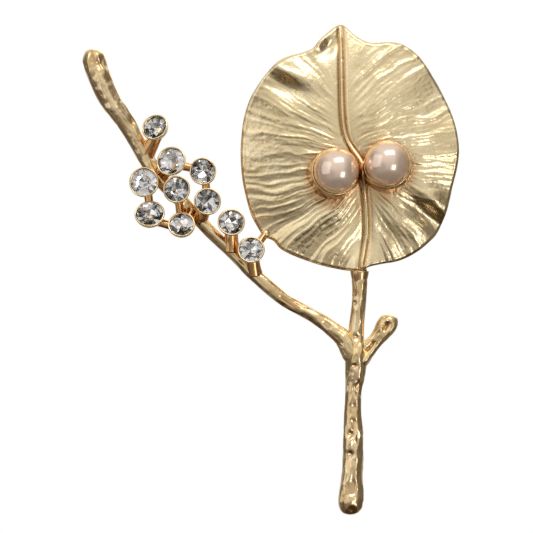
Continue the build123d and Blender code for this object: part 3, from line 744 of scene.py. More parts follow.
def painted_crevice_shade(x, z, reach, drift):
    """Painted shade on the leaf from 0 to 1, in the darker warm colour: a line beside the midrib where its
    flanks fall into shade, a ring round each pearl that fades outwards as the shade of its cup, and a patch
    below them; the strongest counts."""
    # Painted shade in a line beside the midrib, where its flanks fall into shade.
    painted_shade = 0.70 * np.exp(-((reach - 0.38) / 0.24) ** 2)
    for centre in pearl_centres():
        away = np.hypot(x - centre[0], z - centre[2] + 0.9)
        painted_shade = np.maximum(painted_shade, smooth_step(4.9, 3.3, away) * (0.8 + 0.3 * drift))
    below = np.hypot((x - 1.9) / 1.7, (z + 11.2) / 2.6)
    return np.maximum(painted_shade, 0.75 * smooth_step(1.3, 0.2, below))


def fold(x, z, place, bearing, length, width):
    """A step-like fold: the slope of a Gaussian across its line, faded by a Gaussian along it."""
    turn = np.radians(bearing)
    along = (x - place[0]) * np.cos(turn) + (z - place[1]) * np.sin(turn)
    across = -(x - place[0]) * np.sin(turn) + (z - place[1]) * np.cos(turn)
    return across / width * np.exp(0.5 - 0.5 * (across / width) ** 2) * np.exp(-(along / length) ** 2)


def leaf_dome(x, z):
    """How far the plain dome falls back from its middle: radius - sqrt(radius^2 - distance^2)."""
    return DOME_RADIUS - np.sqrt(DOME_RADIUS**2 - x**2 - (z - LEAF_CENTRE_Z) ** 2)


def leaf_front_y(x, z, edge, sizes):
    """Y of the leaf's front, which is the dome less the relief, and the painted shade there."""
    relief, painted_shade = leaf_relief(x, z, edge, sizes)
    return LEAF_FRONT_Y + leaf_dome(x, z) - relief, painted_shade


def leaf_edge_share(x, z):
    """0 at the hub and 1 at the rim: the distance from the hub as a share of the outline's distance along
    the same ray."""
    outline = smooth_path(leaf_place(LEAF_OUTLINE), 0.3, closed=True)
    across, up = (outline - LEAF_HUB).T
    rays = np.arctan2(up, across)
    order = np.argsort(rays)
    own = np.arctan2(z - LEAF_HUB[1], x - LEAF_HUB[0])
    rim = np.interp(own, rays[order], np.hypot(across, up)[order], period=2 * np.pi)
    return np.hypot(x - LEAF_HUB[0], z - LEAF_HUB[1]) / rim


def leaf_blade(sizes):
    """The blade as one closed shell: rings of the outline shrunk towards the hub carry the front from the
    hub to the rim, a half round of rings turns over the rim, and the back returns to the hub with the
    front's relief at part strength."""
    outline = smooth_path(leaf_place(LEAF_OUTLINE), 0.02, closed=True)
    outline = outline[np.linspace(0, len(outline), LEAF_RAYS, endpoint=False).astype(int)]
    shares = np.linspace(0.0, 1.0, LEAF_RINGS + 1)[1:] ** RING_CROWDING
    flat = LEAF_HUB + shares[:, None, None] * (outline - LEAF_HUB)
    x, z = flat[..., 0], flat[..., 1]
    edge = np.repeat(shares[:, None], LEAF_RAYS, 1)
    front_y, painted_shade = leaf_front_y(x, z, edge, sizes)
    front = points_of(x, front_y, z)
    plain_y = LEAF_FRONT_Y + leaf_dome(x, z)
    relief = plain_y - front_y
    thickness = LEAF_THICKNESS + (RIM_THICKNESS - LEAF_THICKNESS) * smooth_step(0.75, 1.0, edge)
    kept = 0.55 + 0.45 * smooth_step(0.6, 1.0, edge)
    skin = 0.05 * layered_noise(points_of(x * 0.8, z * 0.8, edge * 0), 61, 3)
    back = points_of(x, plain_y + thickness - relief * kept + skin, z)
    middle = (front[-1] + back[-1]) / 2
    half = (back[-1, :, 1] - front[-1, :, 1]) / 2
    out = unit(outline - LEAF_HUB)
    lip = []
    for step in np.linspace(0, np.pi, 7)[1:-1]:
        ring = middle.copy()
        ring[:, 1] -= half * np.cos(step)
        ring[:, 0] += out[:, 0] * RIM_BULGE * np.sin(step)
        ring[:, 2] += out[:, 1] * RIM_BULGE * np.sin(step)
        lip.append(ring)
    back_rings = back[::-3]
    rows = np.concatenate([front, np.array(lip), back_rings])
    # The turn over the rim and the back get no painted shade; the hub's pole gets heavy painted shade.
    plain = np.zeros((len(lip) + len(back_rings)) * LEAF_RAYS)
    poles = [0.8, 0.0]
    return shell(rows), np.concatenate([painted_shade.ravel(), plain, poles])


def leaf_midrib(sizes):
    """A round rib laid along the groove, and a broader one below it that fills the space under its arch.

    The rib thins evenly towards the tip, a sine beads it, and a square root rounds off both ends. Between
    the pearls it stands higher by height x exp(-(distance / width)^2)."""
    line = smooth_path(leaf_place(RIB_LINE), 0.16)
    x, z = line[:, 0], line[:, 1]
    edge = np.minimum(leaf_edge_share(x, z), 1.0)
    y, _ = leaf_front_y(x, z, edge, sizes)
    middle = pearl_centres()[:, [0, 2]].mean(0)
    arch = RIB_ARCH_HEIGHT * np.exp(-((z - middle[1]) / RIB_ARCH_WIDTH) ** 2)
    share = np.linspace(0, 1, len(z))
    thick = RIB_RADIUS * (1.05 - 0.25 * share) * (1 + 0.06 * np.sin(share * 40))
    thick = thick * np.sqrt(np.clip((1 - share) * 40, 0.05, 1)) * np.sqrt(np.clip(share * 40, 0.2, 1))
    path = points_of(x, y - RIB_PROUD - arch, z)
    below = path + np.array([0, 0.55, 0])
    return [shell(tube_rows(path, thick, 20)), shell(tube_rows(below, thick * 1.15 + arch * 0.12, 16))]


def leaf_neck_and_pads(sizes):
    """The neck boss under the leaf's base and the two pads behind it that carry the bar.

    The boss is a tube on a line that sags back by a half sine and narrows by the smooth step; a pad is
    turned, and widens a little towards the leaf."""
    share = np.linspace(0, 1, 26)
    top_x, top_z = leaf_place((0.115, -0.86))
    top_y = leaf_front_y(top_x[None], top_z[None], np.array([0.9]), sizes)[0][0] + 0.8
    foot = np.array([NECK[0], TWIG_Y, neck_high[2]])
    path = foot + (np.array([top_x, top_y, top_z]) - foot) * share[:, None]
    path[:, 1] += 0.45 * np.sin(np.pi * share)
    shells = [shell(tube_rows(path, 1.0 - 0.60 * smooth_step(0.0, 0.75, share), 40))]
    pad_radius = (pads_high[2] - pads_low[2]) / 2
    levels = np.array([0.0, 0.0, 0.06, 0.25, 0.9, 1.2])
    radii = pad_radius * np.array([0.90, 0.96, 1.0, 1.0, 1.05, 1.12])
    for pad_x in (pads_low[0] + pad_radius, pads_high[0] - pad_radius):
        centre = np.array([pad_x, pads_low[1], 0.0])
        shells.append(shell(turned_rows(centre, (0, -1, 0), levels, radii, 40)))
    return shells


# =====================================================================================
# Twig
# =====================================================================================

def branch_place(share_x, share_z):
    """A point on the twig's middle plane, from its shares of the branch's reach and rise."""
    return np.array([FORK[0] - share_x * BRANCH_REACH, TWIG_Y, FORK[1] + share_z * BRANCH_RISE])


def bark_relief(run, turn, sizes, seed):
    """Bark on a round twig: ridges and furrows of noise stretched along the twig, hollows where a second
    noise is high, and a fine hammered skin. It also gives painted shade, heavy in the hollows and furrows.
    The noise is read on a cylinder, so it meets itself."""
    ring = points_of(np.cos(turn), np.sin(turn))

    def field(tight, along, layer, layers):
        """Noise on a cylinder of radius tight, stretched along the twig by along."""
        spots = np.concatenate([ring * tight, (run * along)[..., None]], -1)
        return layered_noise(spots + 9.0, seed + layer, layers)

    swirl = field(0.8, 0.22, 1, 1)
    ridges = 1 - np.abs(field(1.25, 0.26, 3, 2) + 0.3 * swirl)
    hollows = smooth_step(0.25, 0.70, field(1.15, 0.45, 7, 1))
    knots = field(0.8, 0.30, 11, 1)
    skin = field(2.4, 1.5, 13, 2)
    depth = sizes.bark_depth / MM
    height = depth * (1.2 * (ridges**2 - 0.6) - 1.2 * hollows + 0.6 * knots + 0.30 * skin)
    # Painted shade in the hollows and furrows of the bark.
    return height - height.mean(), np.clip(0.6 * hollows + 0.5 * (0.55 - ridges), 0, 1)


def bark_tube(stations, sizes, seed, dents):
    """A twig: a tube along the smooth path through its stations, with bark, pressed hollows on its front,
    and rounded ends."""
    line = smooth_path(stations, BARK_STEP)
    path, radii = line[:, :3], line[:, 3]
    run = np.arange(len(path)) * BARK_STEP
    grid_run, grid_turn = np.meshgrid(run, round_angles(BARK_AROUND), indexing="ij")
    relief, painted_shade = bark_relief(grid_run, grid_turn, sizes, seed)
    relief = relief * np.clip((radii / 1.25) ** 2, 0.1, 1.1)[:, None]
    rows = tube_rows(path, radii, BARK_AROUND)
    forward = (path[:, None, 1] - rows[..., 1]) / radii[:, None]
    ends = smooth_step(0.0, 1.4, np.minimum(run, run[-1] - run))[:, None]
    relief = relief * (0.35 + 0.65 * np.abs(forward)) * ends
    front = smooth_step(0.1, 0.6, forward)
    for sideways, up, size, depth in dents:
        away = np.hypot(rows[..., 0] - FORK[0] - sideways, rows[..., 2] - FORK[1] - up)
        press = np.exp(-(away / size) ** 2) * front
        relief = relief - depth * press
        # Painted shade in each pressed hollow.
        painted_shade = np.maximum(painted_shade, 0.7 * press)
    rows = tube_rows(path, radii, BARK_AROUND, relief)
    return shell(rows), np.concatenate([painted_shade.ravel(), [0, 0]])


def middle_plane_stations(across, up, radii):
    """Stations (x, y, z, radius) on the twig's middle plane."""
    return points_of(across, np.full(len(up), TWIG_Y), up, radii)


def twig_stations():
    """Stations of the stem, the branch and the stub."""
    down, shift, stem_radii = STEM_STATIONS.T
    share_x, share_z, branch_radii = BRANCH_STATIONS.T
    sideways, up, stub_radii = STUB_STATIONS.T
    return (
        middle_plane_stations(NECK[0] + shift, STEM_TOP_Z - down * STEM_LENGTH, stem_radii),
        middle_plane_stations(FORK[0] - share_x * BRANCH_REACH, FORK[1] + share_z * BRANCH_RISE,
                              branch_radii),
        middle_plane_stations(FORK[0] + sideways, FORK[1] + up, stub_radii),
    )


def neck_collar():
    """The solder collar: rings whose radius grows by the smooth step from its foot to its top."""
    levels = np.linspace(COLLAR_FOOT, COLLAR_TOP, 25)
    radii = COLLAR_FOOT_RADIUS + COLLAR_SPREAD * smooth_step(COLLAR_FOOT, COLLAR_TOP, levels)
    return shell(turned_rows(NECK, (0, 0, 1), levels, radii, 64))


# =====================================================================================
# Stones and their cups
# =====================================================================================

def stone_axis(stone):
    """Middle of a stone's girdle and the direction its face looks: straight ahead, tilted by its angle
    towards its bearing."""
    share_x, share_z, _, tilt, bearing, forward, _ = stone
    place = branch_place(share_x, share_z)
    place[1] = STONE_Y - forward
    lean = np.sin(np.radians(tilt))
    bearing = np.radians(bearing)
    axis = np.array([lean * np.cos(bearing), -np.cos(np.radians(tilt)), lean * np.sin(bearing)])
    return place, axis


def cup_floor(radius):
    """Level of the inside floor of a stone's cup below the girdle."""
    return -GIRDLE_HALF - PAVILION_SHARE * radius - CUP_FLOOR_DROP


def stone_cup(stone, seed):
    """A cast cup: the outside swells by a sine from a narrow foot to the rim, a half-round bead turns over
    the rim, and the inside drops straight to the girdle and then slopes to the floor. Noise wavers the
    wall's radius and the rim's level."""
    place, axis = stone_axis(stone)
    radius = stone[2]
    floor = cup_floor(radius)
    outer = radius + CUP_WALL
    depth = CUP_RIM_RISE - floor + CUP_FLOOR_THICKNESS
    rise = np.linspace(0, 1, 12)
    outside_r = CUP_FOOT_RADIUS + (outer - CUP_FOOT_RADIUS) * np.sin(rise * np.pi / 2) ** 0.9
    outside_w = floor - CUP_FLOOR_THICKNESS + rise * (depth - CUP_BEAD_DROP)
    bead_turn = np.linspace(0, np.pi, 8)
    bead = 0.5 * (outer - radius - CUP_GAP)
    bead_r = radius + CUP_GAP + bead + bead * np.cos(bead_turn)
    bead_w = CUP_RIM_RISE - CUP_BEAD_DROP + CUP_BEAD_RISE * np.sin(bead_turn)
    inside_r = np.array([radius + CUP_GAP, radius + 0.01, 0.80 * radius, 0.3 * radius])
    inside_w = np.array([0.0, -GIRDLE_HALF - 0.02, -GIRDLE_HALF - 0.16 * radius, floor + 0.05])
    radii = np.r_[0.6 * CUP_FOOT_RADIUS, outside_r, bead_r, inside_r]
    levels = np.r_[floor - 0.40, outside_w, bead_w, inside_w]
    turn = round_angles(CUP_AROUND)
    ring = points_of(np.cos(turn) * 1.1, np.sin(turn) * 1.1, np.full(CUP_AROUND, seed * 1.7))
    waver = layered_noise(ring + 4.0, 71 + seed, 3)
    spread = np.where(radii > radius + 0.03, CUP_WAVER, 0.0)
    grid_r = radii[:, None] + spread[:, None] * waver
    top = smooth_step(-0.1, CUP_RIM_RISE, levels)
    grid_w = levels[:, None] + (top * 0.05)[:, None] * np.roll(waver, 17)
    rows = turned_rows(place, axis, grid_w, grid_r, CUP_AROUND)
    # Painted shade: heavy at the cup's narrow foot and deep inside, none on the rim's bead.
    outside_painted_shade = np.clip(1.0 - rise * 1.15, 0, 1)
    ring_painted_shade = np.r_[1.0, outside_painted_shade, np.zeros(len(bead_r)), 0.2, 0.4, 0.8, 0.8]
    return shell(rows), np.r_[np.repeat(ring_painted_shade, CUP_AROUND), 1.0, 0.8]


def cup_foot(stone):
    """Point below a cup's inside floor where its stalk and webs meet."""
    place, axis = stone_axis(stone)
    return place + axis * (cup_floor(stone[2]) - BAR_FOOT_DROP)


def bar_between(start, end, radii, seed, around=28):
    """A cast bar between two points: the radius runs evenly from one end's to the other's, a half sine
    takes it in at the waist, and noise dimples it."""
    start_radius, waist, end_radius = radii
    share = np.linspace(0, 1, 22)
    start, end = np.asarray(start, float), np.asarray(end, float)
    path = start + (end - start) * share[:, None]
    blend_radius = start_radius + (end_radius - start_radius) * share
    reach = blend_radius - (min(start_radius, end_radius) - waist) * np.sin(np.pi * share) ** 0.7
    grid_share, turn = np.meshgrid(share, round_angles(around), indexing="ij")
    spots = points_of(np.cos(turn) * 1.4, np.sin(turn) * 1.4, grid_share * 2.4 + seed * 3.1)
    rows = tube_rows(path, reach, around, 0.06 * layered_noise(spots + 6.0, 83, 2))
    # Even painted shade along the whole bar.
    return shell(rows), np.full(rows.shape[0] * around + 2, BAR_PAINTED_SHADE)


def cup_bars():
    """Stalks from the branch to the cups, webs from cup to cup, and the bridge from the last cup to the
    leaf."""
    feet = [cup_foot(stone) for stone in STONES]
    bars = []
    for seed, (number, share_x, share_z) in enumerate(STALKS, start=STALK_SEED):
        bars.append(bar_between(branch_place(share_x, share_z), feet[number - 1], STALK_RADII, seed))
    for seed, (first, second) in enumerate(WEBS, start=WEB_SEED):
        ends = feet[first - 1] + WEB_SET_BACK, feet[second - 1] + WEB_SET_BACK
        bars.append(bar_between(*ends, WEB_RADII, seed))
    goal_x, goal_z = leaf_place(BRIDGE_GOAL)
    goal_y = np.mean(node_box("bridge_solder"), axis=0)[1]
    bars.append(bar_between(feet[-1], (goal_x, goal_y, goal_z), BRIDGE_RADII, BRIDGE_SEED))
    return bars


def faceted_stone(stone, seed):
    """A round cut stone: an eight-sided table, a ring of eight at the crown's shoulder, sixteen girdle
    points above and below, a ring of eight part way down the back whose depths stray by chance, and a
    point below. Neighbouring rings are joined by three-sided faces, eight of each kind. Returns the shell
    and, for each face, 0 for clear glass or 1 for the foiled back."""
    place, axis = stone_axis(stone)
    radius = stone[2]
    crown = GIRDLE_HALF + CROWN_SHARE * radius
    depth = -GIRDLE_HALF - FOIL_SHARE * radius
    shoulder_level = GIRDLE_HALF + SHOULDER_RISE_SHARE * radius
    half_step = np.pi / 8
    spin = np.radians(stone[6])

    def ring(count, reach, level, offset=0):
        """Points of one ring."""
        return turned_rows(place, axis, [level], [reach], count, spin + offset)[0]

    back_ring = ring(8, BACK_RING_SHARE * radius, BACK_RING_DEPTH * depth, half_step)
    stray = BACK_RING_SPREAD * depth * np.random.default_rng(seed).uniform(-1, 1, 8)
    points = np.vstack([
        ring(8, TABLE_SHARE * radius, crown), ring(8, SHOULDER_SHARE * radius, shoulder_level, half_step),
        ring(16, radius, GIRDLE_HALF), ring(16, radius, -GIRDLE_HALF), back_ring + axis * stray[:, None],
        place + axis * crown, place + axis * depth,
    ])
    k = np.arange(8)
    after, before = (k + 1) % 8, (k - 1) % 8
    even, odd, next_even = 2 * k, 2 * k + 1, (2 * k + 2) % 16
    table, shoulder, upper, lower, back = 0, 8, 16, 32, 48
    table_middle, culet = np.full(8, 56), np.full(8, 57)
    clear = [
        (table_middle, table + k, table + after), (table + k, shoulder + k, table + after),
        (table + k, shoulder + before, upper + even), (table + k, upper + even, shoulder + k),
        (shoulder + k, upper + even, upper + odd), (shoulder + k, upper + odd, upper + next_even),
        (upper + even, lower + even, lower + odd), (upper + even, lower + odd, upper + odd),
        (upper + odd, lower + odd, lower + next_even), (upper + odd, lower + next_even, upper + next_even),
    ]
    foiled = [
        (lower + even, back + k, lower + odd), (lower + odd, back + k, lower + next_even),
        (lower + even, back + before, back + k), (back + before, culet, back + k),
    ]
    faces = np.vstack([np.stack(corners, 1) for corners in clear + foiled])
    if signed_volume(points, faces) < 0:
        faces = faces[:, ::-1]
    return (points, [faces]), np.repeat([0, 1], [8 * len(clear), 8 * len(foiled)])


# =====================================================================================
# Pearls and their cups
# =====================================================================================

def pearl_shell(centre, radius):
    """A sphere as rings about the front-to-back axis: radius sin(a) at level radius cos(a)."""
    turn = np.linspace(0, np.pi, PEARL_RINGS + 2)[1:-1]
    return shell(turned_rows(centre, (0, -1, 0), radius * np.cos(turn), radius * np.sin(turn),
                             PEARL_AROUND))


def pearl_cup(centre, radius, lip_bearing, seed, sizes):
    """A ragged skirt from the leaf up to a thin lip that hugs the pearl, and back down inside.

    At each point round the cup, facing is 0.5 + 0.5 cos(angle from the lip's bearing). The lip's level
    rises with a power of facing, the inside follows the sphere sqrt(radius^2 - level^2), the skirt spreads
    towards the leaf by a power of the distance below the lip, and two noises make lip and skirt ragged."""
    turn = round_angles(PEARL_CUP_AROUND)
    axis = np.array([0.0, -1.0, 0.0])
    out = ring_directions(axis, turn)
    bearing = np.arctan2(out[:, 2], out[:, 0])
    facing = 0.5 + 0.5 * np.cos(bearing - np.radians(lip_bearing))
    ring = points_of(np.cos(turn), np.sin(turn), np.full(PEARL_CUP_AROUND, seed * 2.3))
    ragged = layered_noise(ring * 1.6 + 5.0, 91 + seed, 4)
    jag = layered_noise(ring * 3.5 + 5.0, 97 + seed, 3)

    def sphere(level, least):
        """Radius of the bed at a level at or below the pearl's middle, and its widest above it."""
        return np.sqrt(np.maximum((radius + PEARL_GAP) ** 2 - np.minimum(level, 0) ** 2, least))

    lip_level = PEARL_LIP_LOW + PEARL_LIP_LIFT * facing**0.55 + 0.06 * ragged
    hug = sphere(lip_level, 0.2)
    leaf_x = centre[0] + out[:, 0] * PEARL_FOOT_REACH
    leaf_z = centre[2] + out[:, 2] * PEARL_FOOT_REACH
    leaf_y, _ = leaf_front_y(leaf_x, leaf_z, leaf_edge_share(leaf_x, leaf_z), sizes)
    foot_level = centre[1] - leaf_y - PEARL_FOOT_SINK
    lip = PEARL_LIP * (0.7 + 0.6 * facing)
    outside = {0.0: 1.0, 0.15: 1.0, 0.35: 0.95, 0.6: 0.85, 0.8: 0.6, 0.92: 0.3}    # share: painted shade
    inside = {0.85: 0.5, 0.6: 0.8, 0.3: 1.0, 0.0: 1.0}
    bead = np.linspace(0, np.pi, 6)
    radii, levels = [], []
    for share in outside:
        skirt = (1 - share) ** 0.6 * (0.35 + 0.65 * facing) * (PEARL_SKIRT + 0.22 * ragged + 0.14 * jag)
        radii.append(hug + lip + np.maximum(skirt, -0.5 * lip))
        levels.append(foot_level + (lip_level - foot_level) * share)
    for step in bead:
        radii.append(hug + 0.5 * lip * (1 + np.cos(step)) + 0.015 * ragged)
        levels.append(lip_level + 0.07 * np.sin(step))
    for share in inside:
        level = foot_level + (lip_level - foot_level) * share
        radii.append(sphere(level, 0.3))
        levels.append(level)
    rows = turned_rows(centre, axis, np.array(levels), np.array(radii), PEARL_CUP_AROUND)
    # Painted shade: heavy low on the skirt and inside, light on the lip.
    ring_painted_shade = np.r_[list(outside.values()), np.full(len(bead), 0.1), list(inside.values())]
    poles = [1.0, 1.0]
    return shell(rows), np.r_[np.repeat(ring_painted_shade, PEARL_CUP_AROUND), poles]


# =====================================================================================
# Materials of the pieces
# =====================================================================================

def leaf_gold(colors):
    """Satin champagne plate, with a fine grain."""
    return plated_metal("leaf_plate", (colors.leaf, colors.leaf_pale, colors.painted_shade_color),
                        roughness=0.27, spread=0.16, cloud_scale=260.0, grain_scale=2600.0, bump=0.60)


def bark_gold(colors):
    """Polished plate on the bark."""
    return plated_metal("bark_plate", (colors.twig, colors.twig_pale, colors.painted_shade_color),
                        roughness=0.22, spread=0.10, cloud_scale=420.0, grain_scale=3000.0, bump=0.20)


def cup_gold(colors):
    """Bright plate on the stone cups, with deep orange painted shade in their crevices."""
    return plated_metal("cup_plate", (colors.twig, colors.twig_pale, colors.painted_shade_cup_color),
                        roughness=0.16, spread=0.08, cloud_scale=500.0, grain_scale=3500.0, bump=0.12)


def pearl_cup_gold(colors):
    """Plate on the pearls' cups, with burnt orange painted shade low down."""
    return plated_metal("pearl_cup_plate", (colors.twig, colors.twig_pale, colors.painted_shade_pearl_cup_color),
                        roughness=0.20, spread=0.08, cloud_scale=500.0, grain_scale=3500.0, bump=0.20)


def pin_gold(colors):
    """Plate on the bar and the catch."""
    return plated_metal("pin_plate", (colors.leaf, colors.leaf_pale, colors.painted_shade_color), with_painted_shade=False,
                        roughness=0.24, spread=0.12, cloud_scale=300.0, grain_scale=3500.0, bump=0.25)


def solder_gold(colors):
    """Rougher plate over the solder."""
    return plated_metal("solder_plate", (colors.twig, colors.twig_pale, colors.painted_shade_color), with_painted_shade=False,
                        roughness=0.30, spread=0.20, cloud_scale=900.0, grain_scale=2400.0, bump=0.50)


def pin_steel(colors):
    """Drawn wire, plated pale."""
    return plated_metal("pin_wire", (colors.leaf_pale, colors.steel_pale, colors.painted_shade_color), with_painted_shade=False,
                        roughness=0.15, spread=0.08, cloud_scale=500.0, grain_scale=5000.0, bump=0.15)


def pearl_coat(colors):
    """Pearlescent coat: the body colour turns to a painted reflection of the gold cup and leaf where the
    surface turns away, a cloud drifts through its polish, and a clear coat lies over it."""
    if "pearl_coat" in bpy.data.materials:
        return bpy.data.materials["pearl_coat"]
    material, tree, shader = new_material("pearl_coat")
    facing = add_node(tree, "ShaderNodeLayerWeight", {"Blend": 0.35}).outputs["Facing"]
    # Painted reflection of the gold, growing towards the outline.
    edge = ramp(tree, facing, 0.16, 0.66)
    set_inputs(tree, shader, {
        "Base Color": blend(tree, edge, (*colors.pearl, 1), (*colors.pearl_painted_gold_reflection, 1)),
        "Roughness": ramp(tree, cloud(tree, 300.0, 2.0), 0.0, 1.0, 0.15, 0.21),
        "Metallic": 0.62, "Coat Weight": 1.0, "Coat Roughness": 0.10, "Coat IOR": 1.75})
    return material


def stone_glass(colors):
    """Clear cut glass with a barely uneven polish."""
    if "cut_glass" in bpy.data.materials:
        return bpy.data.materials["cut_glass"]
    material, tree, shader = new_material("cut_glass")
    set_inputs(tree, shader, {
        "Roughness": ramp(tree, cloud(tree, 900.0, 1.0), 0.0, 1.0, 0.0, 0.01),
        "Base Color": (*colors.glass, 1), "Transmission Weight": 1.0, "IOR": 1.56})
    return material


def stone_foil(colors):
    """Silvering on the back facets, seen through the stone: bright, or darkened by facet as a painted dark
    reflection, with a faint cloud.
    """
    if "stone_foil" in bpy.data.materials:
        return bpy.data.materials["stone_foil"]
    material, tree, shader = new_material("stone_foil")
    facet = add_node(tree, "ShaderNodeAttribute", attribute_name="facet_painted_reflection").outputs["Fac"]
    uneven = combine(tree, "MULTIPLY_ADD", cloud(tree, 1500.0, 2.0), 0.15, facet)
    set_inputs(tree, shader, {
        "Base Color": blend(tree, uneven, (*colors.foil_painted_dark_reflection, 1), (*colors.foil, 1)),
        "Metallic": 1.0, "Roughness": 0.06})
    return material


def cement_coat(colors):
    """Cured cement: slightly cloudy cream."""
    if "cured_cement" in bpy.data.materials:
        return bpy.data.materials["cured_cement"]
    material, tree, shader = new_material("cured_cement")
    drift = cloud(tree, 1200.0, 3.0)
    set_inputs(tree, shader, {
        "Base Color": blend(tree, drift, (*colors.cement, 1), (*colors.cement_pale, 1)),
        "Roughness": 0.35})
    return material


# =====================================================================================
# Operators
# =====================================================================================

class BROOCH_OT_leaf(Operator):
    """Cast the leaf: blade, midrib, neck boss and pads"""

    bl_idname = "brooch.leaf"
    bl_label = "Leaf"

    def execute(self, context):
        sizes, colors = context.scene.brooch_sizes, context.scene.brooch_colors
        gold = leaf_gold(colors)
        blade, vertex_painted_shade = leaf_blade(sizes)
        build_piece("leaf_blade", [blade], [gold], ["leaf_casting"], vertex_painted_shade=vertex_painted_shade)
        ribs = leaf_midrib(sizes)
        # Painted shade: light on the rib, heavy on the broader rib in the shade under its arch.
        vertex_painted_shade = np.concatenate([np.full(len(ribs[0][0]), 0.15), np.full(len(ribs[1][0]), 0.8)])
        build_piece("leaf_midrib", ribs, [gold], vertex_painted_shade=vertex_painted_shade)
        mounts = leaf_neck_and_pads(sizes)
        # Painted shade: light and even on the neck boss and pads.
        vertex_painted_shade = np.concatenate([np.full(len(points), 0.2) for points, _ in mounts])
        build_piece("leaf_neck_and_pads", mounts, [gold], vertex_painted_shade=vertex_painted_shade)
        return {"FINISHED"}


class BROOCH_OT_twig(Operator):
    """Cast the twig: stem, side branch and stub with their bark"""

    bl_idname = "brooch.twig"
    bl_label = "Twig"

    def execute(self, context):
        sizes, colors = context.scene.brooch_sizes, context.scene.brooch_colors
        names = ("twig_stem", "twig_branch", "twig_stub")
        dents = (STEM_DENTS, BRANCH_DENTS, STUB_DENTS)
        for count, (name, stations, hollows) in enumerate(zip(names, twig_stations(), dents)):
            tube, vertex_painted_shade = bark_tube(stations, sizes, BARK_SEED + BARK_SEED_STEP * count, hollows)
            build_piece(name, [tube], [bark_gold(colors)], ["twig_casting"], vertex_painted_shade=vertex_painted_shade)
        return {"FINISHED"}


class BROOCH_OT_neck(Operator):
    """Melt the solder collar between the leaf's neck and the stem"""

    bl_idname = "brooch.neck"
    bl_label = "Neck Solder"

    def execute(self, context):
        colors = context.scene.brooch_colors
        collar = neck_collar()
        build_piece("neck_fillet", [collar], [bark_gold(colors)], ["neck_solder"],
                    vertex_painted_shade=np.full(len(collar[0]), COLLAR_PAINTED_SHADE))
        return {"FINISHED"}


class BROOCH_OT_cups(Operator):
    """Cast the stone cups with their stalks, webs and bridge"""

    bl_idname = "brooch.cups"
    bl_label = "Stone Cups"

    def execute(self, context):
        gold = cup_gold(context.scene.brooch_colors)
        cups = [stone_cup(stone, seed) for seed, stone in enumerate(STONES)]
        for name, made in (("stone_cups", cups), ("cup_stalks", cup_bars())):
            shells, vertex_painted_shades = zip(*made)
            build_piece(name, shells, [gold], ["twig_casting"], vertex_painted_shade=np.concatenate(vertex_painted_shades))
        return {"FINISHED"}


class BROOCH_OT_stones(Operator):
    """Cut the ten foil-backed stones"""

    bl_idname = "brooch.stones"
    bl_label = "Stones"

    def execute(self, context):
        colors = context.scene.brooch_colors
        for number, stone in enumerate(STONES, start=1):
            cut, kinds = faceted_stone(stone, number)
            # Painted dark reflections on a random share of the back facets.
            painted_reflections = np.random.default_rng(FACET_SEED + number).random(len(kinds)) > DARK_REFLECTION_FACETS
            build_piece(f"cut_stone_{number:02d}", [cut], [stone_glass(colors), stone_foil(colors)],
                        [f"stone_{number:02d}"], face_slots=kinds, smooth=False,
                        face_painted_reflections=painted_reflections)
        return {"FINISHED"}


class BROOCH_OT_pearls(Operator):
    """Set the two pearls in their ragged cups"""

    bl_idname = "brooch.pearls"
    bl_label = "Pearls"

    def execute(self, context):
        sizes, colors = context.scene.brooch_sizes, context.scene.brooch_colors
        radius = pearl_radius()
        for seed, (name, centre) in enumerate(zip(PEARL_NAMES, pearl_centres())):
            centre = centre.copy()
            centre[1] = node_box(f"pearl_{name}")[0][1] + radius
            build_piece(f"pearl_bead_{name}", [pearl_shell(centre, radius)], [pearl_coat(colors)],
                        [f"pearl_{name}"])
            cup, vertex_painted_shade = pearl_cup(centre, radius, PEARL_LIP_BEARINGS[seed], seed, sizes)
            build_piece(f"pearl_setting_{name}", [cup], [pearl_cup_gold(colors)],
                        [f"pearl_cup_{name}"], vertex_painted_shade=vertex_painted_shade)
        return {"FINISHED"}


class BROOCH_OT_findings(Operator):
    """Finish the pin, bar, catch, solder and cement that the frame already holds"""

    bl_idname = "brooch.findings"
    bl_label = "Pin and Catch"

    def execute(self, context):
        colors = context.scene.brooch_colors
        finishes = {
            "pin_bar": pin_gold(colors), "catch_body": pin_gold(colors), "catch_rotor": pin_gold(colors),
            "pin_stem": pin_steel(colors), "hinge_rivet": pin_steel(colors),
            "bridge_solder": solder_gold(colors), "bar_solder": solder_gold(colors),
            "stone_adhesive": cement_coat(colors), "pearl_adhesive": cement_coat(colors),
        }
        for node, material in finishes.items():
            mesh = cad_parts[node].data
            mesh.materials.clear()
            mesh.materials.append(material)
        return {"FINISHED"}


class BROOCH_OT_stage(Operator):
    """Set up the floor, soft lights, world and camera"""

    bl_idname = "brooch.stage"
    bl_label = "Stage"

    def execute(self, context):
        scene = context.scene
        studio_floor(scene)
        studio_world(scene)
        for name, place, size, brightness in LIGHTS:
            studio_light(scene, name, place, size, brightness)
        studio_camera(scene)
        scene.view_settings.view_transform = "Standard"
        return {"FINISHED"}


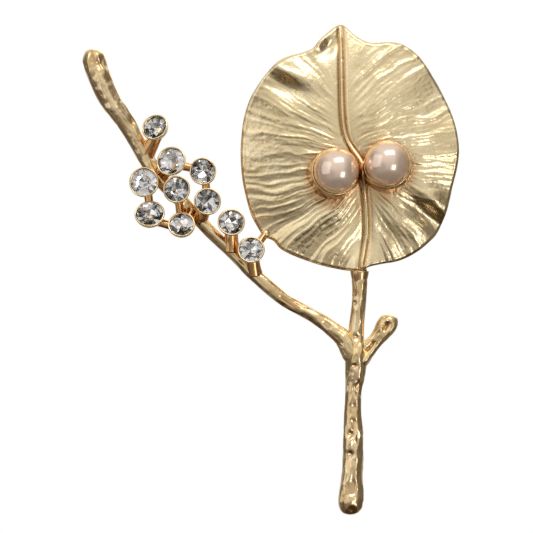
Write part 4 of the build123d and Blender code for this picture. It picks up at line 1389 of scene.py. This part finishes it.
def studio_floor(scene):
    """A plain pale floor. Metal and stones mirror and show the soft tent instead of it."""
    material, tree, shader = new_material("studio_floor")
    set_inputs(tree, shader, {"Base Color": (*scene.brooch_colors.floor, 1), "Roughness": 0.8})
    level = cad_box[0][2] - FLOOR_DROP
    corners = [(x * FLOOR_HALF, y * FLOOR_HALF, level) for x, y in ((-1, -1), (1, -1), (1, 1), (-1, 1))]
    mesh = bpy.data.meshes.new("studio_floor")
    mesh.from_pydata(corners, [], [(0, 1, 2, 3)])
    mesh.materials.append(material)
    floor = bpy.data.objects.new("studio_floor", mesh)
    scene.collection.objects.link(floor)
    floor.visible_glossy = False
    floor.visible_transmission = False


def studio_light(scene, name, place, size, brightness):
    """A soft rectangular light aimed at the middle of the brooch; its power is pi x area x brightness."""
    data = bpy.data.lights.new(name, "AREA")
    data.shape = "RECTANGLE"
    data.size, data.size_y = size
    data.energy = np.pi * size[0] * size[1] * brightness
    light = bpy.data.objects.new(name, data)
    middle = (np.array(cad_box[0]) + np.array(cad_box[1])) / 2
    light.location = middle + np.array(place)
    aim = Vector(middle - np.array(light.location))
    light.rotation_euler = aim.to_track_quat("-Z", "Y").to_euler()
    scene.collection.objects.link(light)


def studio_camera(scene):
    """A level camera straight in front, as far off as width seen x lens / sensor width."""
    data = bpy.data.cameras.new("camera")
    data.lens = scene.brooch_sizes.lens
    data.sensor_width = SENSOR_WIDTH
    data.clip_start = CAMERA_CLIP_START
    camera = bpy.data.objects.new("camera", data)
    scene.collection.objects.link(camera)
    x, y, z = VIEW_MIDDLE
    camera.location = (x, y - VIEW_WIDTH * data.lens / data.sensor_width, z)
    camera.rotation_euler = (np.pi / 2, 0, 0)
    scene.camera = camera


def studio_world(scene):
    """White to the camera. To everything else it is a soft tent: the product of four runs of brightness
    mixes its dark and bright colours."""
    world = bpy.data.worlds.new("studio")
    scene.world = world
    world.use_nodes = True
    tree = world.node_tree
    direction = add_node(tree, "ShaderNodeTexCoord").outputs["Generated"]
    parts = add_node(tree, "ShaderNodeSeparateXYZ", {"Vector": direction}).outputs
    sideways = combine(tree, "ABSOLUTE", parts["X"])
    toward = add_node(tree, "ShaderNodeVectorMath", {0: direction, 1: TENT_PATCH_WAY},
                      operation="DOT_PRODUCT").outputs["Value"]
    brightness = ramp(tree, parts["Z"], *TENT_RISE)
    for measure, run in ((toward, TENT_PATCH), (sideways, TENT_FLANKS), (parts["Z"], TENT_UNDERSIDE)):
        brightness = combine(tree, "MULTIPLY", brightness, ramp(tree, measure, *run))
    tent = blend(tree, brightness, (*TENT_DARK, 1), (*TENT_BRIGHT, 1), clamp=False)
    seen = add_node(tree, "ShaderNodeLightPath").outputs["Is Camera Ray"]
    set_inputs(tree, tree.nodes["Background"], {"Color": blend(tree, seen, tent, (1, 1, 1, 1))})


# =====================================================================================
# Panel and registration
# =====================================================================================

class BROOCH_PT_panel(Panel):
    """Sidebar panel with the brooch's settings and steps"""

    bl_idname = "BROOCH_PT_panel"
    bl_label = "Brooch"
    bl_space_type = "VIEW_3D"
    bl_region_type = "UI"
    bl_category = "Brooch"

    def draw(self, context):
        """Every setting, then a button for each step."""
        scene = context.scene
        for group in (scene.brooch_sizes, scene.brooch_colors):
            column = self.layout.column(align=True)
            for name in group.__annotations__:
                column.prop(group, name)
        for step in STEPS:
            self.layout.operator(step.bl_idname)


STEPS = (BROOCH_OT_leaf, BROOCH_OT_twig, BROOCH_OT_neck, BROOCH_OT_cups, BROOCH_OT_stones, BROOCH_OT_pearls,
         BROOCH_OT_findings, BROOCH_OT_stage)
CLASSES = (BroochSizes, BroochColors, *STEPS, BROOCH_PT_panel)


def register():
    """Register the classes and hang the settings on the scene."""
    for cls in CLASSES:
        bpy.utils.register_class(cls)
    bpy.types.Scene.brooch_sizes = PointerProperty(type=BroochSizes)
    bpy.types.Scene.brooch_colors = PointerProperty(type=BroochColors)


def unregister():
    """Take the settings and the classes away again."""
    del bpy.types.Scene.brooch_colors
    del bpy.types.Scene.brooch_sizes
    for cls in reversed(CLASSES):
        bpy.utils.unregister_class(cls)


def main():
    """Build every piece and the studio in order."""
    register()
    bpy.ops.brooch.leaf()
    bpy.ops.brooch.twig()
    bpy.ops.brooch.neck()
    bpy.ops.brooch.cups()
    bpy.ops.brooch.stones()
    bpy.ops.brooch.pearls()
    bpy.ops.brooch.findings()
    bpy.ops.brooch.stage()


if __name__ == "__main__":
    main()
